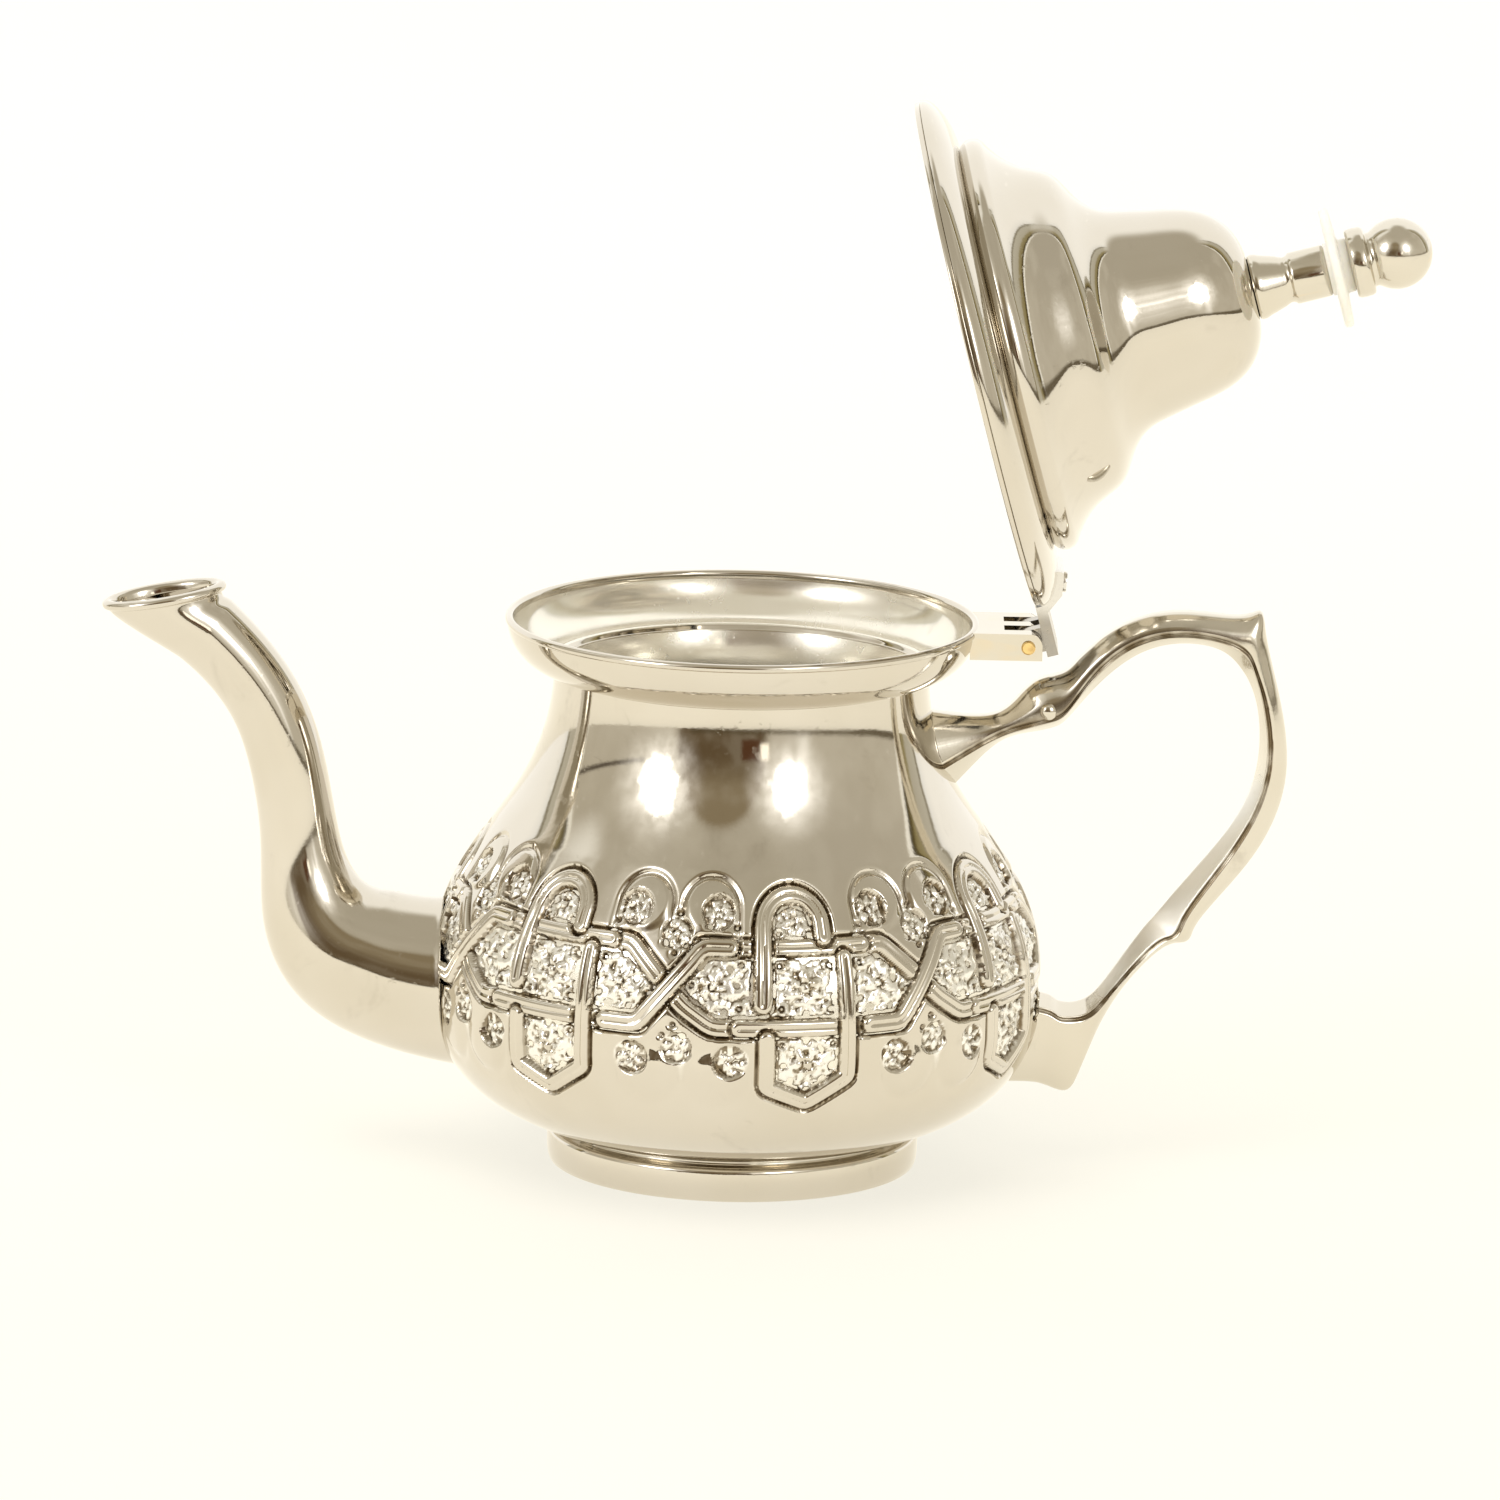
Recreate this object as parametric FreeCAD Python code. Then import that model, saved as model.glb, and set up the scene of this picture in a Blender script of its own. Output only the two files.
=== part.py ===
import FreeCAD, Part
import math
import os

# Small plated-brass teapot with an S spout, a cast loop handle and a tall hinged lid.
# Millimetres. +Z is up, +X runs from the spout (at -X) to the handle (at +X).
# The origin is the centre of the foot ring's underside.
# Every lid piece is drawn on a closed lid and then swung open on the hinge pin, which is rest.

V = FreeCAD.Vector
Z_AXIS = V(0, 0, 1)
Y_AXIS = V(0, 1, 0)

# ---- driving dimensions ----
WALL = 1.1                 # sheet thickness of body, collar, lid and spout
FOOT_TOP_Z = 6.2           # foot ring top, where the body's flat bottom begins
FOOT_R = 30.2              # foot ring radius on the table
FOOT_WALL = 1.3
FLANGE_R = 28.4            # radius of the soldered flange between foot and body
BOTTOM_R = 26.0            # opening in the body closed by the bottom plate
NECK_R = 30.7              # outer radius of the neck, under the collar
NECK_Z = 82.3              # height of the crease between neck and collar
COLLAR_ARC_R = 8.1         # the collar is a quarter-round bowl of this radius
BEAD_R = 0.7               # rolled bead on the mouth
MOUTH_Z = 91.05            # top of the mouth bead

SPOUT_HOLE_R = 9.0         # hole through the body wall behind the spout
STRAINER_R = 11.0          # strainer disc soldered over that hole
STRAINER_T = 0.8
STRAINER_HOLE_R = 0.9
STRAINER_PITCH = 3.4
SPOUT_ROOT_Z = 28.5

PIN_X = 46.6               # hinge pin axis, along Y
PIN_Z = 88.65
PIN_R = 1.15
PIN_HALF = 9.2             # half length of the pin
BRACKET_HALF_W = 8.7       # half width of the hinge bracket
BRACKET_REACH = 11.0       # pin to the block's untrimmed root
BRACKET_HALF_T = 2.2       # half thickness of the hinge bracket
FINGER_R = 2.3             # reach of the bracket's end past the pin
SLOT_FLOOR = 3.9           # slots begin this far behind the pin
KNUCKLE_R = 2.0
KNUCKLE_Y = 3.5            # centre of each lid knuckle
KNUCKLE_HALF_W = 1.45
SLOT_HALF_W = 1.85
PIN_CLEARANCE = 0.05       # radial, pin to lid knuckle
LEAF_HALF_W = 6.2
LEAF_LOW = 2.6             # leaf underside above the pin, lid closed
LEAF_T = 1.8
LEAF_TAIL = 2.8            # the leaf ends this far past the pin
# The leaf's top from the bend up on to the flange, (x, z) from the pin with the lid closed.
LEAF_SADDLE = [(-4.4, 4.4), (-6.6, 7.3), (-10.2, 8.5), (-12.0, 5.0)]

LID_X = -1.0               # axis of the closed lid
LID_Z = 92.3               # edge of the closed lid's flange
LID_R = 42.4
LID_OPEN_DEG = 75.0
SEAT_T = 0.9               # flat ring under the lid that rests on the mouth
SEAT_INNER_R = 36.4
DOME_TOP = 45.5            # flat top of the dome above the flange edge
DOME_TOP_R = 5.4
SCREW_R = 1.5

# Finial heights are measured above the flange edge, along the lid's axis.
INSULATOR_LOW = 58.0
KNOB_LOW = 61.85
SCREW_TIP = 68.85
BALL_MIDDLE = 69.5
BALL_R = 5.8
KNOB_NECK_R = 4.45
HUB_R = 4.3                # hub of the insulator

WASHER_T = 0.8
SCREW_HEAD_R = 3.1
SCREW_HEAD_T = 2.0
RIVET_R = 1.0
RIVET_HEAD_R = 1.7
RIVET_HEAD_T = 0.7
RIVET_GRIP = 2.2           # leaf and flange between the rivet's heads
RIVET_LEAN_DEG = 20.0      # the rivet stands square to the sloping flange

# Body sheet's outside, (radius, height) from the flange up to the crease under the collar.
BODY_PROFILE = [
    (FLANGE_R, FOOT_TOP_Z), (36.4, 9.0), (44.4, 14.3), (49.7, 23.7), (50.33, 30.5), (48.8, 41.5),
    (42.9, 52.9), (36.2, 62.7), (31.75, 73.8), (NECK_R, NECK_Z)]

# Lid's outside, (radius, height above the flange edge): shallow flange, rolled step, bell-shaped dome.
FLANGE_PROFILE = [(LID_R, 0), (42.0, 1.2), (40.4, 2.6), (37.6, 3.8), (33.0, 4.4)]
STEP_PROFILE = [(33.0, 4.4), (34.3, 6.4), (33.2, 8.4)]
DOME_PROFILE = [
    (33.2, 8.4), (30.4, 10.4), (28.1, 13.2), (25.6, 17.8), (21.3, 20.7), (18.3, 23.9), (17.2, 27.6),
    (16.2, 32.4), (15.0, 37.6), (12.4, 42.2), (8.4, 44.8), (DOME_TOP_R, DOME_TOP)]

# Middle line from inside the body to below the lip, with the outer radius at each point.
SPOUT_LINE = [
    (-38.0, 28.0, 13.9), (-49.5, 29.4, 13.3), (-57.6, 31.2, 12.5), (-64.3, 34.6, 11.5), (-68.6, 39.8, 9.6),
    (-70.9, 46.5, 7.5), (-72.2, 54.5, 6.4), (-74.0, 64.5, 6.2), (-77.2, 74.0, 6.1), (-82.0, 81.3, 6.1),
    (-87.6, 87.0, 6.3)]
LIP_X = -94.6
LIP_Z = 92.7
LIP_TILT_DEG = 10.5        # the lip rises towards the pot
LIP_HALF_LENGTH = 10.3
LIP_HALF_WIDTH = 7.4
LIP_WALL = 2.0             # the lip is a thick rounded band
LIP_HALF_T = 0.8

# Each station is the outer edge, the inner edge and the half width of a four-sided section.
HANDLE = [
    ((29.5, 76.2), (34.2, 62.6), 5.6), ((36.0, 75.6), (38.6, 67.5), 4.2), ((41.0, 75.5), (42.0, 71.0), 3.3),
    ((44.0, 77.2), (45.3, 72.4), 3.6), ((47.7, 81.4), (50.0, 73.3), 4.6), ((53.2, 83.2), (53.4, 75.0), 4.6),
    ((56.2, 86.8), (58.2, 81.2), 3.5), ((61.3, 91.3), (63.6, 86.0), 3.6), ((68.6, 94.1), (68.8, 88.2), 3.7),
    ((76.0, 93.4), (75.2, 88.4), 3.7), ((81.6, 92.7), (79.2, 86.8), 3.7), ((84.8, 93.6), (81.9, 83.8), 3.6),
    ((85.9, 87.6), (83.5, 81.0), 3.7), ((88.4, 79.2), (84.9, 77.0), 3.8), ((90.2, 69.5), (85.2, 71.0), 3.8),
    ((89.2, 62.4), (84.4, 64.6), 3.8), ((86.2, 54.4), (81.6, 58.9), 3.7), ((80.6, 47.8), (77.0, 53.0), 3.6),
    ((75.8, 41.9), (72.0, 46.9), 3.5), ((74.2, 38.5), (68.6, 42.5), 3.7), ((70.6, 37.6), (66.8, 40.4), 3.2),
    ((66.2, 33.7), (63.1, 35.2), 3.0), ((61.4, 27.2), (59.6, 29.6), 3.6), ((57.6, 18.2), (56.4, 27.6), 4.6),
    ((55.0, 13.1), (53.4, 27.6), 5.2), ((49.5, 14.3), (51.4, 28.7), 5.4), ((42.0, 14.3), (46.0, 30.0), 5.8)]


THROUGH = 20.0             # longer than anything it cuts


# ---- helpers ----
def at(r, z):
    return V(r, 0, z)


def spline(points):
    """Smooth curve through (r, z) points in the XZ plane."""
    curve = Part.BSplineCurve()
    curve.interpolate([at(r, z) for r, z in points])
    return curve


def inward(curve, distance, steps=24):
    """The same curve moved towards the axis, square to itself; it runs bottom to top."""
    first = curve.FirstParameter
    span = curve.LastParameter - first
    moved = []
    for i in range(steps + 1):
        u = first + span * i / steps
        tangent = curve.tangent(u)[0]
        moved.append(curve.value(u) + V(-tangent.z, 0, tangent.x) * distance)
    shifted = Part.BSplineCurve()
    shifted.interpolate(moved)
    return shifted


def line(a, b):
    return Part.LineSegment(a, b).toShape()


def arc(a, b, c):
    return Part.Arc(a, b, c).toShape()


def ends(curve):
    return curve.value(curve.FirstParameter), curve.value(curve.LastParameter)


def turned(edges):
    """Solid of revolution about Z from a closed set of profile edges."""
    wire = Part.Wire(Part.__sortEdges__(edges))
    return Part.Face(wire).revolve(V(0, 0, 0), Z_AXIS, 360)


def turned_outline(points):
    corners = [at(r, z) for r, z in points]
    wire = Part.makePolygon(corners + corners[:1])
    return Part.Face(wire).revolve(V(0, 0, 0), Z_AXIS, 360)


def prism(points, y_low, y_high):
    """Outline in the XZ plane, pulled from y_low to y_high."""
    corners = [V(x, y_low, z) for x, z in points]
    face = Part.Face(Part.makePolygon(corners + corners[:1]))
    return face.extrude(V(0, y_high - y_low, 0))


def cross_pin(radius, half_length, y_middle=0.0):
    return Part.makeCylinder(radius, 2 * half_length, V(PIN_X, y_middle - half_length, PIN_Z), Y_AXIS)


def spout_drill(radius, y=0.0, rise=0.0):
    """Cylinder along X through the wall on the spout's side only."""
    reach = 60
    return Part.makeCylinder(radius, reach, V(-reach, y, SPOUT_ROOT_Z + rise), V(1, 0, 0))


# ---- body ----
BODY_OUTER = spline(BODY_PROFILE)
BODY_INNER = inward(BODY_OUTER, WALL)


def body_filled():
    """The body's outside as one solid block, used to trim what is soldered to it."""
    low, high = ends(BODY_OUTER)
    return turned([BODY_OUTER.toShape(), line(high, at(0, high.z)), line(at(0, high.z), at(0, low.z)),
                   line(at(0, low.z), low)])


def body_shell():
    low, high = ends(BODY_OUTER)
    inner_low, inner_high = ends(BODY_INNER)
    bottom_top = FOOT_TOP_Z + WALL
    shell = turned([
        BODY_OUTER.toShape(), line(high, at(inner_high.x, high.z)),
        line(at(inner_high.x, high.z), inner_high), BODY_INNER.toShape(),
        line(inner_low, at(BOTTOM_R, bottom_top)), line(at(BOTTOM_R, bottom_top), at(BOTTOM_R, FOOT_TOP_Z)),
        line(at(BOTTOM_R, FOOT_TOP_Z), low)])
    return shell.cut(spout_drill(SPOUT_HOLE_R))


def bottom_plate():
    """Disc that closes the body, with a shallow recess pressed up into it."""
    recess = 0.4
    recess_r = 18.0
    slope = 1.5
    low = FOOT_TOP_Z
    high = FOOT_TOP_Z + WALL
    return turned_outline([
        (0, low + recess), (recess_r, low + recess), (recess_r + slope, low), (BOTTOM_R, low),
        (BOTTOM_R, high), (recess_r + slope - 0.3, high), (recess_r - 0.2, high + recess),
        (0, high + recess)])


def foot_ring():
    """Slightly barrelled ring with an inward flange under the body's flat bottom."""
    inner_r = FOOT_R - FOOT_WALL
    flange_low = FOOT_TOP_Z - 1.0
    flange_inner_r = BOTTOM_R - 1.0
    corners = [
        (FOOT_R - 0.2, flange_low), (FLANGE_R, flange_low + 0.2), (FLANGE_R, FOOT_TOP_Z),
        (flange_inner_r, FOOT_TOP_Z), (flange_inner_r, flange_low), (inner_r, flange_low - 0.8),
        (inner_r, 0), (FOOT_R, 0)]
    barrel = arc(at(FOOT_R, 0), at(FOOT_R + 0.4, FOOT_TOP_Z / 2), at(*corners[0]))
    return turned([barrel] + Part.makePolygon([at(r, z) for r, z in corners]).Edges)


def collar_arc(radius):
    """Quarter round from straight down to straight out, about the collar's own centre."""
    centre = at(NECK_R - 0.3, NECK_Z + COLLAR_ARC_R)
    diagonal = radius / math.sqrt(2)
    return [centre + at(0, -radius), centre + at(diagonal, -diagonal), centre + at(radius, 0)]


def mouth_collar(filled=False):
    """Bowl-shaped collar with a rolled bead; filled gives its outside as one block."""
    outer = collar_arc(COLLAR_ARC_R)
    inner = collar_arc(COLLAR_ARC_R - WALL)
    throat_r = NECK_R - WALL
    if filled:
        edges = [arc(*outer), line(outer[2], at(0, outer[2].z)), line(at(0, outer[2].z), at(0, NECK_Z)),
                 line(at(0, NECK_Z), outer[0])]
    else:
        edges = [arc(*outer), line(outer[2], inner[2]), arc(*inner), line(inner[0], at(throat_r, inner[0].z)),
                 line(at(throat_r, inner[0].z), at(throat_r, NECK_Z)), line(at(throat_r, NECK_Z), outer[0])]
    bead_centre_r = outer[2].x - WALL / 2 + 0.15
    bead = Part.makeTorus(bead_centre_r, BEAD_R, V(0, 0, MOUTH_Z - BEAD_R))
    collar = turned(edges).fuse(bead)
    if filled:
        collar = collar.fuse(Part.makeCylinder(bead_centre_r, MOUTH_Z - NECK_Z - 1, V(0, 0, NECK_Z + 1)))
    return collar


def spout_strainer():
    """Curved disc against the inside of the body wall, with a hexagonal field of holes."""
    layer_inner = inward(BODY_OUTER, WALL + STRAINER_T)
    low, high = ends(BODY_INNER)
    inner_low, inner_high = ends(layer_inner)
    layer = turned([BODY_INNER.toShape(), line(high, inner_high), layer_inner.toShape(),
                    line(inner_low, low)])
    strainer = layer.common(spout_drill(STRAINER_R))
    row_height = STRAINER_PITCH * math.sqrt(3) / 2
    field_r = SPOUT_HOLE_R - 1.6
    for row in range(-2, 3):
        for column in range(-2, 3):
            y = (column + (row % 2) / 2) * STRAINER_PITCH
            z = row * row_height
            if math.hypot(y, z) < field_r:
                strainer = strainer.cut(spout_drill(STRAINER_HOLE_R, y, z))
    return strainer


# ---- spout ----
def ring_section(centre, out, half_out, half_width):
    """Ellipse with one axis along out and the other along Y."""
    steps = 16
    points = []
    for i in range(steps):
        angle = 2 * math.pi * i / steps
        points.append(centre + out * (half_out * math.cos(angle)) + Y_AXIS * (half_width * math.sin(angle)))
    curve = Part.BSplineCurve()
    curve.interpolate(points, PeriodicFlag=True)
    return Part.Wire(curve.toShape())


def lip_section(height, inset):
    """Ellipse parallel to the lip, this far above its middle and inset from its edge."""
    tilt = math.radians(LIP_TILT_DEG)
    along = V(-math.cos(tilt), 0, -math.sin(tilt))
    up = V(-math.sin(tilt), 0, math.cos(tilt))
    centre = at(LIP_X, LIP_Z) + up * height
    return ring_section(centre, along, LIP_HALF_LENGTH - inset, LIP_HALF_WIDTH - inset)


def spout_skin(inset):
    """Loft through the spout's sections up to the lip, inset from the outside."""
    path = spline([(x, z) for x, z, _ in SPOUT_LINE])
    sections = []
    for x, z, radius in SPOUT_LINE:
        tangent = path.tangent(path.parameter(at(x, z)))[0]
        out = V(-tangent.z, 0, tangent.x)
        sections.append(ring_section(at(x, z), out, radius - inset, radius - inset))
    sections.append(lip_section(-LIP_HALF_T, LIP_WALL - WALL + inset))
    return Part.makeLoft(sections, True, False)


def spout():
    """Tapering S tube with a thick lip, trimmed to the body where it is soldered."""
    soft = 0.4
    lip_heights = [(-LIP_HALF_T, soft), (0, 0), (LIP_HALF_T, soft)]
    lip = Part.makeLoft([lip_section(height, inset) for height, inset in lip_heights], True, True)
    mouth = Part.makeLoft([lip_section(height, LIP_WALL) for height in (-LIP_HALF_T, LIP_HALF_T)], True, True)
    tube = spout_skin(0).cut(spout_skin(WALL)).cut(body_filled())
    return tube.fuse(lip.cut(mouth))


# ---- handle ----
def handle():
    """Cast loop with a ridge down each side, trimmed to the body where it is soldered."""
    sections = []
    for outer, inner, half_width in HANDLE:
        middle = at((outer[0] + inner[0]) / 2, (outer[1] + inner[1]) / 2)
        ridge = Y_AXIS * half_width
        corners = [at(*outer), middle + ridge, at(*inner), middle - ridge]
        sections.append(Part.makePolygon(corners + corners[:1]))
    return Part.makeLoft(sections, True, True).cut(body_filled())


# ---- hinge ----
def hinge_bracket():
    """Block soldered to the collar, slotted for the two lid knuckles."""
    t = BRACKET_HALF_T
    root = at(-BRACKET_REACH, t)
    nose_low = at(FINGER_R, 0.3)
    nose_top = at(0.5, t)
    edges = Part.makePolygon([nose_top, root, at(-BRACKET_REACH, -t), at(FINGER_R, -t), nose_low]).Edges
    edges.append(arc(nose_low, at(1.7, 1.55), nose_top))
    face = Part.Face(Part.Wire(Part.__sortEdges__(edges)))
    face.translate(V(PIN_X, -BRACKET_HALF_W, PIN_Z))
    block = face.extrude(V(0, 2 * BRACKET_HALF_W, 0))
    for side in (-1, 1):
        low_y = side * KNUCKLE_Y - SLOT_HALF_W
        corner = V(PIN_X - SLOT_FLOOR, low_y, PIN_Z - THROUGH / 2)
        slot = Part.makeBox(THROUGH, 2 * SLOT_HALF_W, THROUGH, corner)
        block = block.cut(slot)
    return block.cut(cross_pin(PIN_R, THROUGH)).cut(mouth_collar(filled=True))


def hinge_pin():
    """Brass pin with a slight chamfer at both ends."""
    pin = cross_pin(PIN_R, PIN_HALF)
    rims = [edge for edge in pin.Edges if abs(edge.Length - 2 * math.pi * PIN_R) < 0.01]
    return pin.makeChamfer(0.25, rims)


def hinge_leaf():
    """Plate on the lid's flange that reaches over the pin, with two knuckles around it."""
    top = LEAF_LOW + LEAF_T
    outline = [(LEAF_TAIL, LEAF_LOW), (LEAF_TAIL, top)] + LEAF_SADDLE + [(-7.0, LEAF_LOW)]
    leaf = prism([(PIN_X + x, PIN_Z + z) for x, z in outline], -LEAF_HALF_W, LEAF_HALF_W)
    leaf = leaf.cut(lid_filled())
    for side in (-1, 1):
        y = side * KNUCKLE_Y
        barrel = cross_pin(KNUCKLE_R, KNUCKLE_HALF_W, y)
        web = Part.makeBox(2 * KNUCKLE_R, 2 * KNUCKLE_HALF_W, LEAF_LOW + 0.4,
                           V(PIN_X - KNUCKLE_R, y - KNUCKLE_HALF_W, PIN_Z))
        leaf = leaf.fuse(barrel).fuse(web)
    return leaf.cut(cross_pin(PIN_R + PIN_CLEARANCE, THROUGH)).removeSplitter()


def leaf_rivet():
    """Rivet through the leaf and the flange, square to the flange."""
    lean_angle = math.radians(RIVET_LEAN_DEG)
    lean = V(math.sin(lean_angle), 0, math.cos(lean_angle))
    foot = V(PIN_X - 8.4, 0, PIN_Z + 5.6)
    shank = Part.makeCylinder(RIVET_R, RIVET_GRIP, foot, lean)
    head = Part.makeCylinder(RIVET_HEAD_R, RIVET_HEAD_T, foot + lean * RIVET_GRIP, lean)
    tail = Part.makeCylinder(RIVET_HEAD_R - 0.2, RIVET_HEAD_T, foot - lean * RIVET_HEAD_T, lean)
    return shank.fuse(head).fuse(tail).removeSplitter()


# ---- lid, drawn closed about its own axis with s = 0 at the flange edge ----
FLANGE_CURVE = spline(FLANGE_PROFILE)
STEP_ARC = [at(r, s) for r, s in STEP_PROFILE]
DOME_CURVE = spline(DOME_PROFILE)


def lid_place(shape):
    """From the lid's own axis to the closed lid on the pot."""
    moved = shape.copy()
    moved.translate(V(LID_X, 0, LID_Z))
    return moved


def lid_filled():
    """The lid's outside, seat ring included, as one block, closed on the pot."""
    top = at(DOME_TOP_R, DOME_TOP)
    block = turned([FLANGE_CURVE.toShape(), arc(*STEP_ARC), DOME_CURVE.toShape(), line(top, at(0, DOME_TOP)),
                    line(at(0, DOME_TOP), at(0, -SEAT_T)), line(at(0, -SEAT_T), at(LID_R, -SEAT_T)),
                    line(at(LID_R, -SEAT_T), at(LID_R, 0))])
    return lid_place(block)


def lid_shell():
    flange_inner = inward(FLANGE_CURVE, WALL)
    dome_inner = inward(DOME_CURVE, WALL)
    flange_low, flange_high = ends(flange_inner)
    dome_low, dome_high = ends(dome_inner)
    notch_r = STEP_ARC[0].x - WALL
    step_low = at(notch_r, STEP_ARC[0].z + 0.9)
    step_middle = at(STEP_ARC[1].x - WALL, STEP_ARC[1].z + 0.1)
    notch = [flange_high, at(notch_r, flange_high.z), step_low]
    edges = [
        FLANGE_CURVE.toShape(), arc(*STEP_ARC), DOME_CURVE.toShape(),
        line(at(DOME_TOP_R, DOME_TOP), at(SCREW_R, DOME_TOP)),
        line(at(SCREW_R, DOME_TOP), at(SCREW_R, DOME_TOP - WALL)),
        line(at(SCREW_R, DOME_TOP - WALL), at(dome_high.x, DOME_TOP - WALL)),
        line(at(dome_high.x, DOME_TOP - WALL), dome_high), dome_inner.toShape(),
        arc(step_low, step_middle, dome_low), line(notch[2], notch[1]), line(notch[1], notch[0]),
        flange_inner.toShape(), line(flange_low, at(flange_low.x, 0)),
        line(at(flange_low.x, 0), at(LID_R, 0))]
    shell = turned([edge for edge in edges if edge.Length > 1e-4])
    return lid_place(shell).cut(leaf_rivet())


def lid_seat_ring():
    outer = LID_R - 0.4
    corners = [(SEAT_INNER_R, -SEAT_T), (outer, -SEAT_T), (outer, 0), (SEAT_INNER_R, 0)]
    return lid_place(turned_outline(corners))


def finial_post():
    """Turned post on the dome: a tapered drum, a groove and a straight drum."""
    low = DOME_TOP
    high = INSULATOR_LOW
    return lid_place(turned_outline([
        (SCREW_R, low), (5.0, low), (5.4, low + 0.4), (5.3, low + 1.2), (4.05, low + 5.0), (3.8, low + 5.6),
        (3.85, low + 6.2), (4.25, low + 6.7), (4.25, high - 0.4), (3.9, high), (SCREW_R, high)]))


def finial_insulator():
    """Moulded washer that keeps heat from the knob: a hub with a wide thin flange."""
    low = INSULATOR_LOW
    high = KNOB_LOW
    return lid_place(turned_outline([
        (SCREW_R, low), (HUB_R, low), (HUB_R + 0.1, low + 0.9), (9.6, low + 0.7), (9.9, low + 1.3),
        (9.5, low + 2.1), (HUB_R + 0.1, low + 2.5), (HUB_R, high), (SCREW_R, high)]))


def finial_knob():
    """Cap disc, short neck and ball, drilled blind for the screw."""
    neck_r = KNOB_NECK_R
    neck_top = BALL_MIDDLE - math.sqrt(BALL_R ** 2 - neck_r ** 2)
    low = KNOB_LOW
    drill_top = SCREW_TIP + 0.5
    ball_side = at(BALL_R, BALL_MIDDLE)
    ball_top = at(0, BALL_MIDDLE + BALL_R)
    corners = [(0, drill_top), (SCREW_R, drill_top), (SCREW_R, low), (5.4, low), (5.7, low + 0.35),
               (5.7, low + 2.6), (5.3, low + 3.05), (neck_r, low + 3.15), (neck_r, neck_top)]
    edges = Part.makePolygon([at(r, z) for r, z in corners]).Edges
    edges = edges + [arc(at(neck_r, neck_top), ball_side, ball_top), line(ball_top, at(0, drill_top))]
    return lid_place(turned(edges))


def finial_washer():
    top = DOME_TOP - WALL
    low = top - WASHER_T
    return lid_place(turned_outline([(SCREW_R, low), (4.2, low), (4.2, top), (SCREW_R, top)]))


def finial_screw():
    """Slotted screw from inside the lid up into the knob."""
    head_top = DOME_TOP - WALL - WASHER_T
    head_low = head_top - SCREW_HEAD_T
    slot_w = 0.8
    slot_depth = 0.9
    head = Part.makeCylinder(SCREW_HEAD_R, SCREW_HEAD_T, V(0, 0, head_low))
    shank = Part.makeCylinder(SCREW_R, SCREW_TIP - head_top, V(0, 0, head_top))
    slot = Part.makeBox(2 * SCREW_HEAD_R, slot_w, slot_depth, V(-SCREW_HEAD_R, -slot_w / 2, head_low))
    return lid_place(head.fuse(shank).cut(slot))


def swung_open(shape):
    opened = shape.copy()
    opened.rotate(V(PIN_X, 0, PIN_Z), Y_AXIS, LID_OPEN_DEG)
    return opened


POT_PARTS = {
    "body_shell": body_shell, "bottom_plate": bottom_plate, "foot_ring": foot_ring,
    "mouth_collar": mouth_collar, "spout": spout, "spout_strainer": spout_strainer, "handle": handle,
    "hinge_bracket": hinge_bracket, "hinge_pin": hinge_pin}


def lid_parts():
    rivet = leaf_rivet()
    return {
        "lid_shell": lid_shell(), "lid_seat_ring": lid_seat_ring(), "hinge_leaf": hinge_leaf().cut(rivet),
        "leaf_rivet": rivet, "finial_post": finial_post(), "finial_insulator": finial_insulator(),
        "finial_knob": finial_knob(), "finial_washer": finial_washer(), "finial_screw": finial_screw()}


def save(name, shape):
    solids = shape.Solids
    if len(solids) == 1:
        shape = solids[0]
    shape.exportStep(os.path.join("parts", name + ".step"))
    box = FreeCAD.BoundBox()
    for point in shape.tessellate(0.05)[0]:
        box.add(point)
    print(f"{name:18s} solids {len(solids)} valid {shape.isValid()} volume {shape.Volume:9.1f}"
          f"  x {box.XMin:7.1f} {box.XMax:7.1f}  y {box.YMin:6.1f} {box.YMax:6.1f}"
          f"  z {box.ZMin:6.1f} {box.ZMax:6.1f}")


os.makedirs("parts", exist_ok=True)
for name, build in POT_PARTS.items():
    save(name, build())
for name, shape in lid_parts().items():
    save(name, swung_open(shape))
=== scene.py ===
import math

import bpy
import numpy as np
from mathutils import Matrix, Vector


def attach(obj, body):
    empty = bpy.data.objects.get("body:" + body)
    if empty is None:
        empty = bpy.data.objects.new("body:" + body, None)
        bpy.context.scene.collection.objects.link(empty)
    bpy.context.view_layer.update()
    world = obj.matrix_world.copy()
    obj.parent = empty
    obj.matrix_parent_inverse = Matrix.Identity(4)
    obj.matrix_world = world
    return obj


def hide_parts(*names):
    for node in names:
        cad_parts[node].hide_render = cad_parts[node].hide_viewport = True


# Looks of a small plated teapot: most visible pieces are rebuilt finely around the imported frame, and the
# rest keep their CAD meshes.
# Outlines are in millimetres in the frame's axes and become metres in make_mesh().

MM = 0.001
SEED = 7

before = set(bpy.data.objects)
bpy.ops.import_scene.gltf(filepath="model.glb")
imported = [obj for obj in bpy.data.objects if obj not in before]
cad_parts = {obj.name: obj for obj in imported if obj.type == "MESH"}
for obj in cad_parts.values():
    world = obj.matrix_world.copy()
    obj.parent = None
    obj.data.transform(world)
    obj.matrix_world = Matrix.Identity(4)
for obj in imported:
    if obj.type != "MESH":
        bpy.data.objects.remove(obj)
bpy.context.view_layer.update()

# ---- shape of the pot, as in the CAD ----
WALL = 1.1
BODY_PROFILE = [           # radius and height, from the foot to the neck
    (28.4, 6.2), (36.4, 9), (44.4, 14.3), (49.7, 23.7), (50.33, 30.5), (48.8, 41.5), (42.9, 52.9),
    (36.2, 62.7), (31.75, 73.8), (30.7, 82.3)]
BODY_MAX_R = 50.27
BODY_LOW_Z = BODY_PROFILE[0][1]
NECK_R, NECK_Z = BODY_PROFILE[-1]
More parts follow.
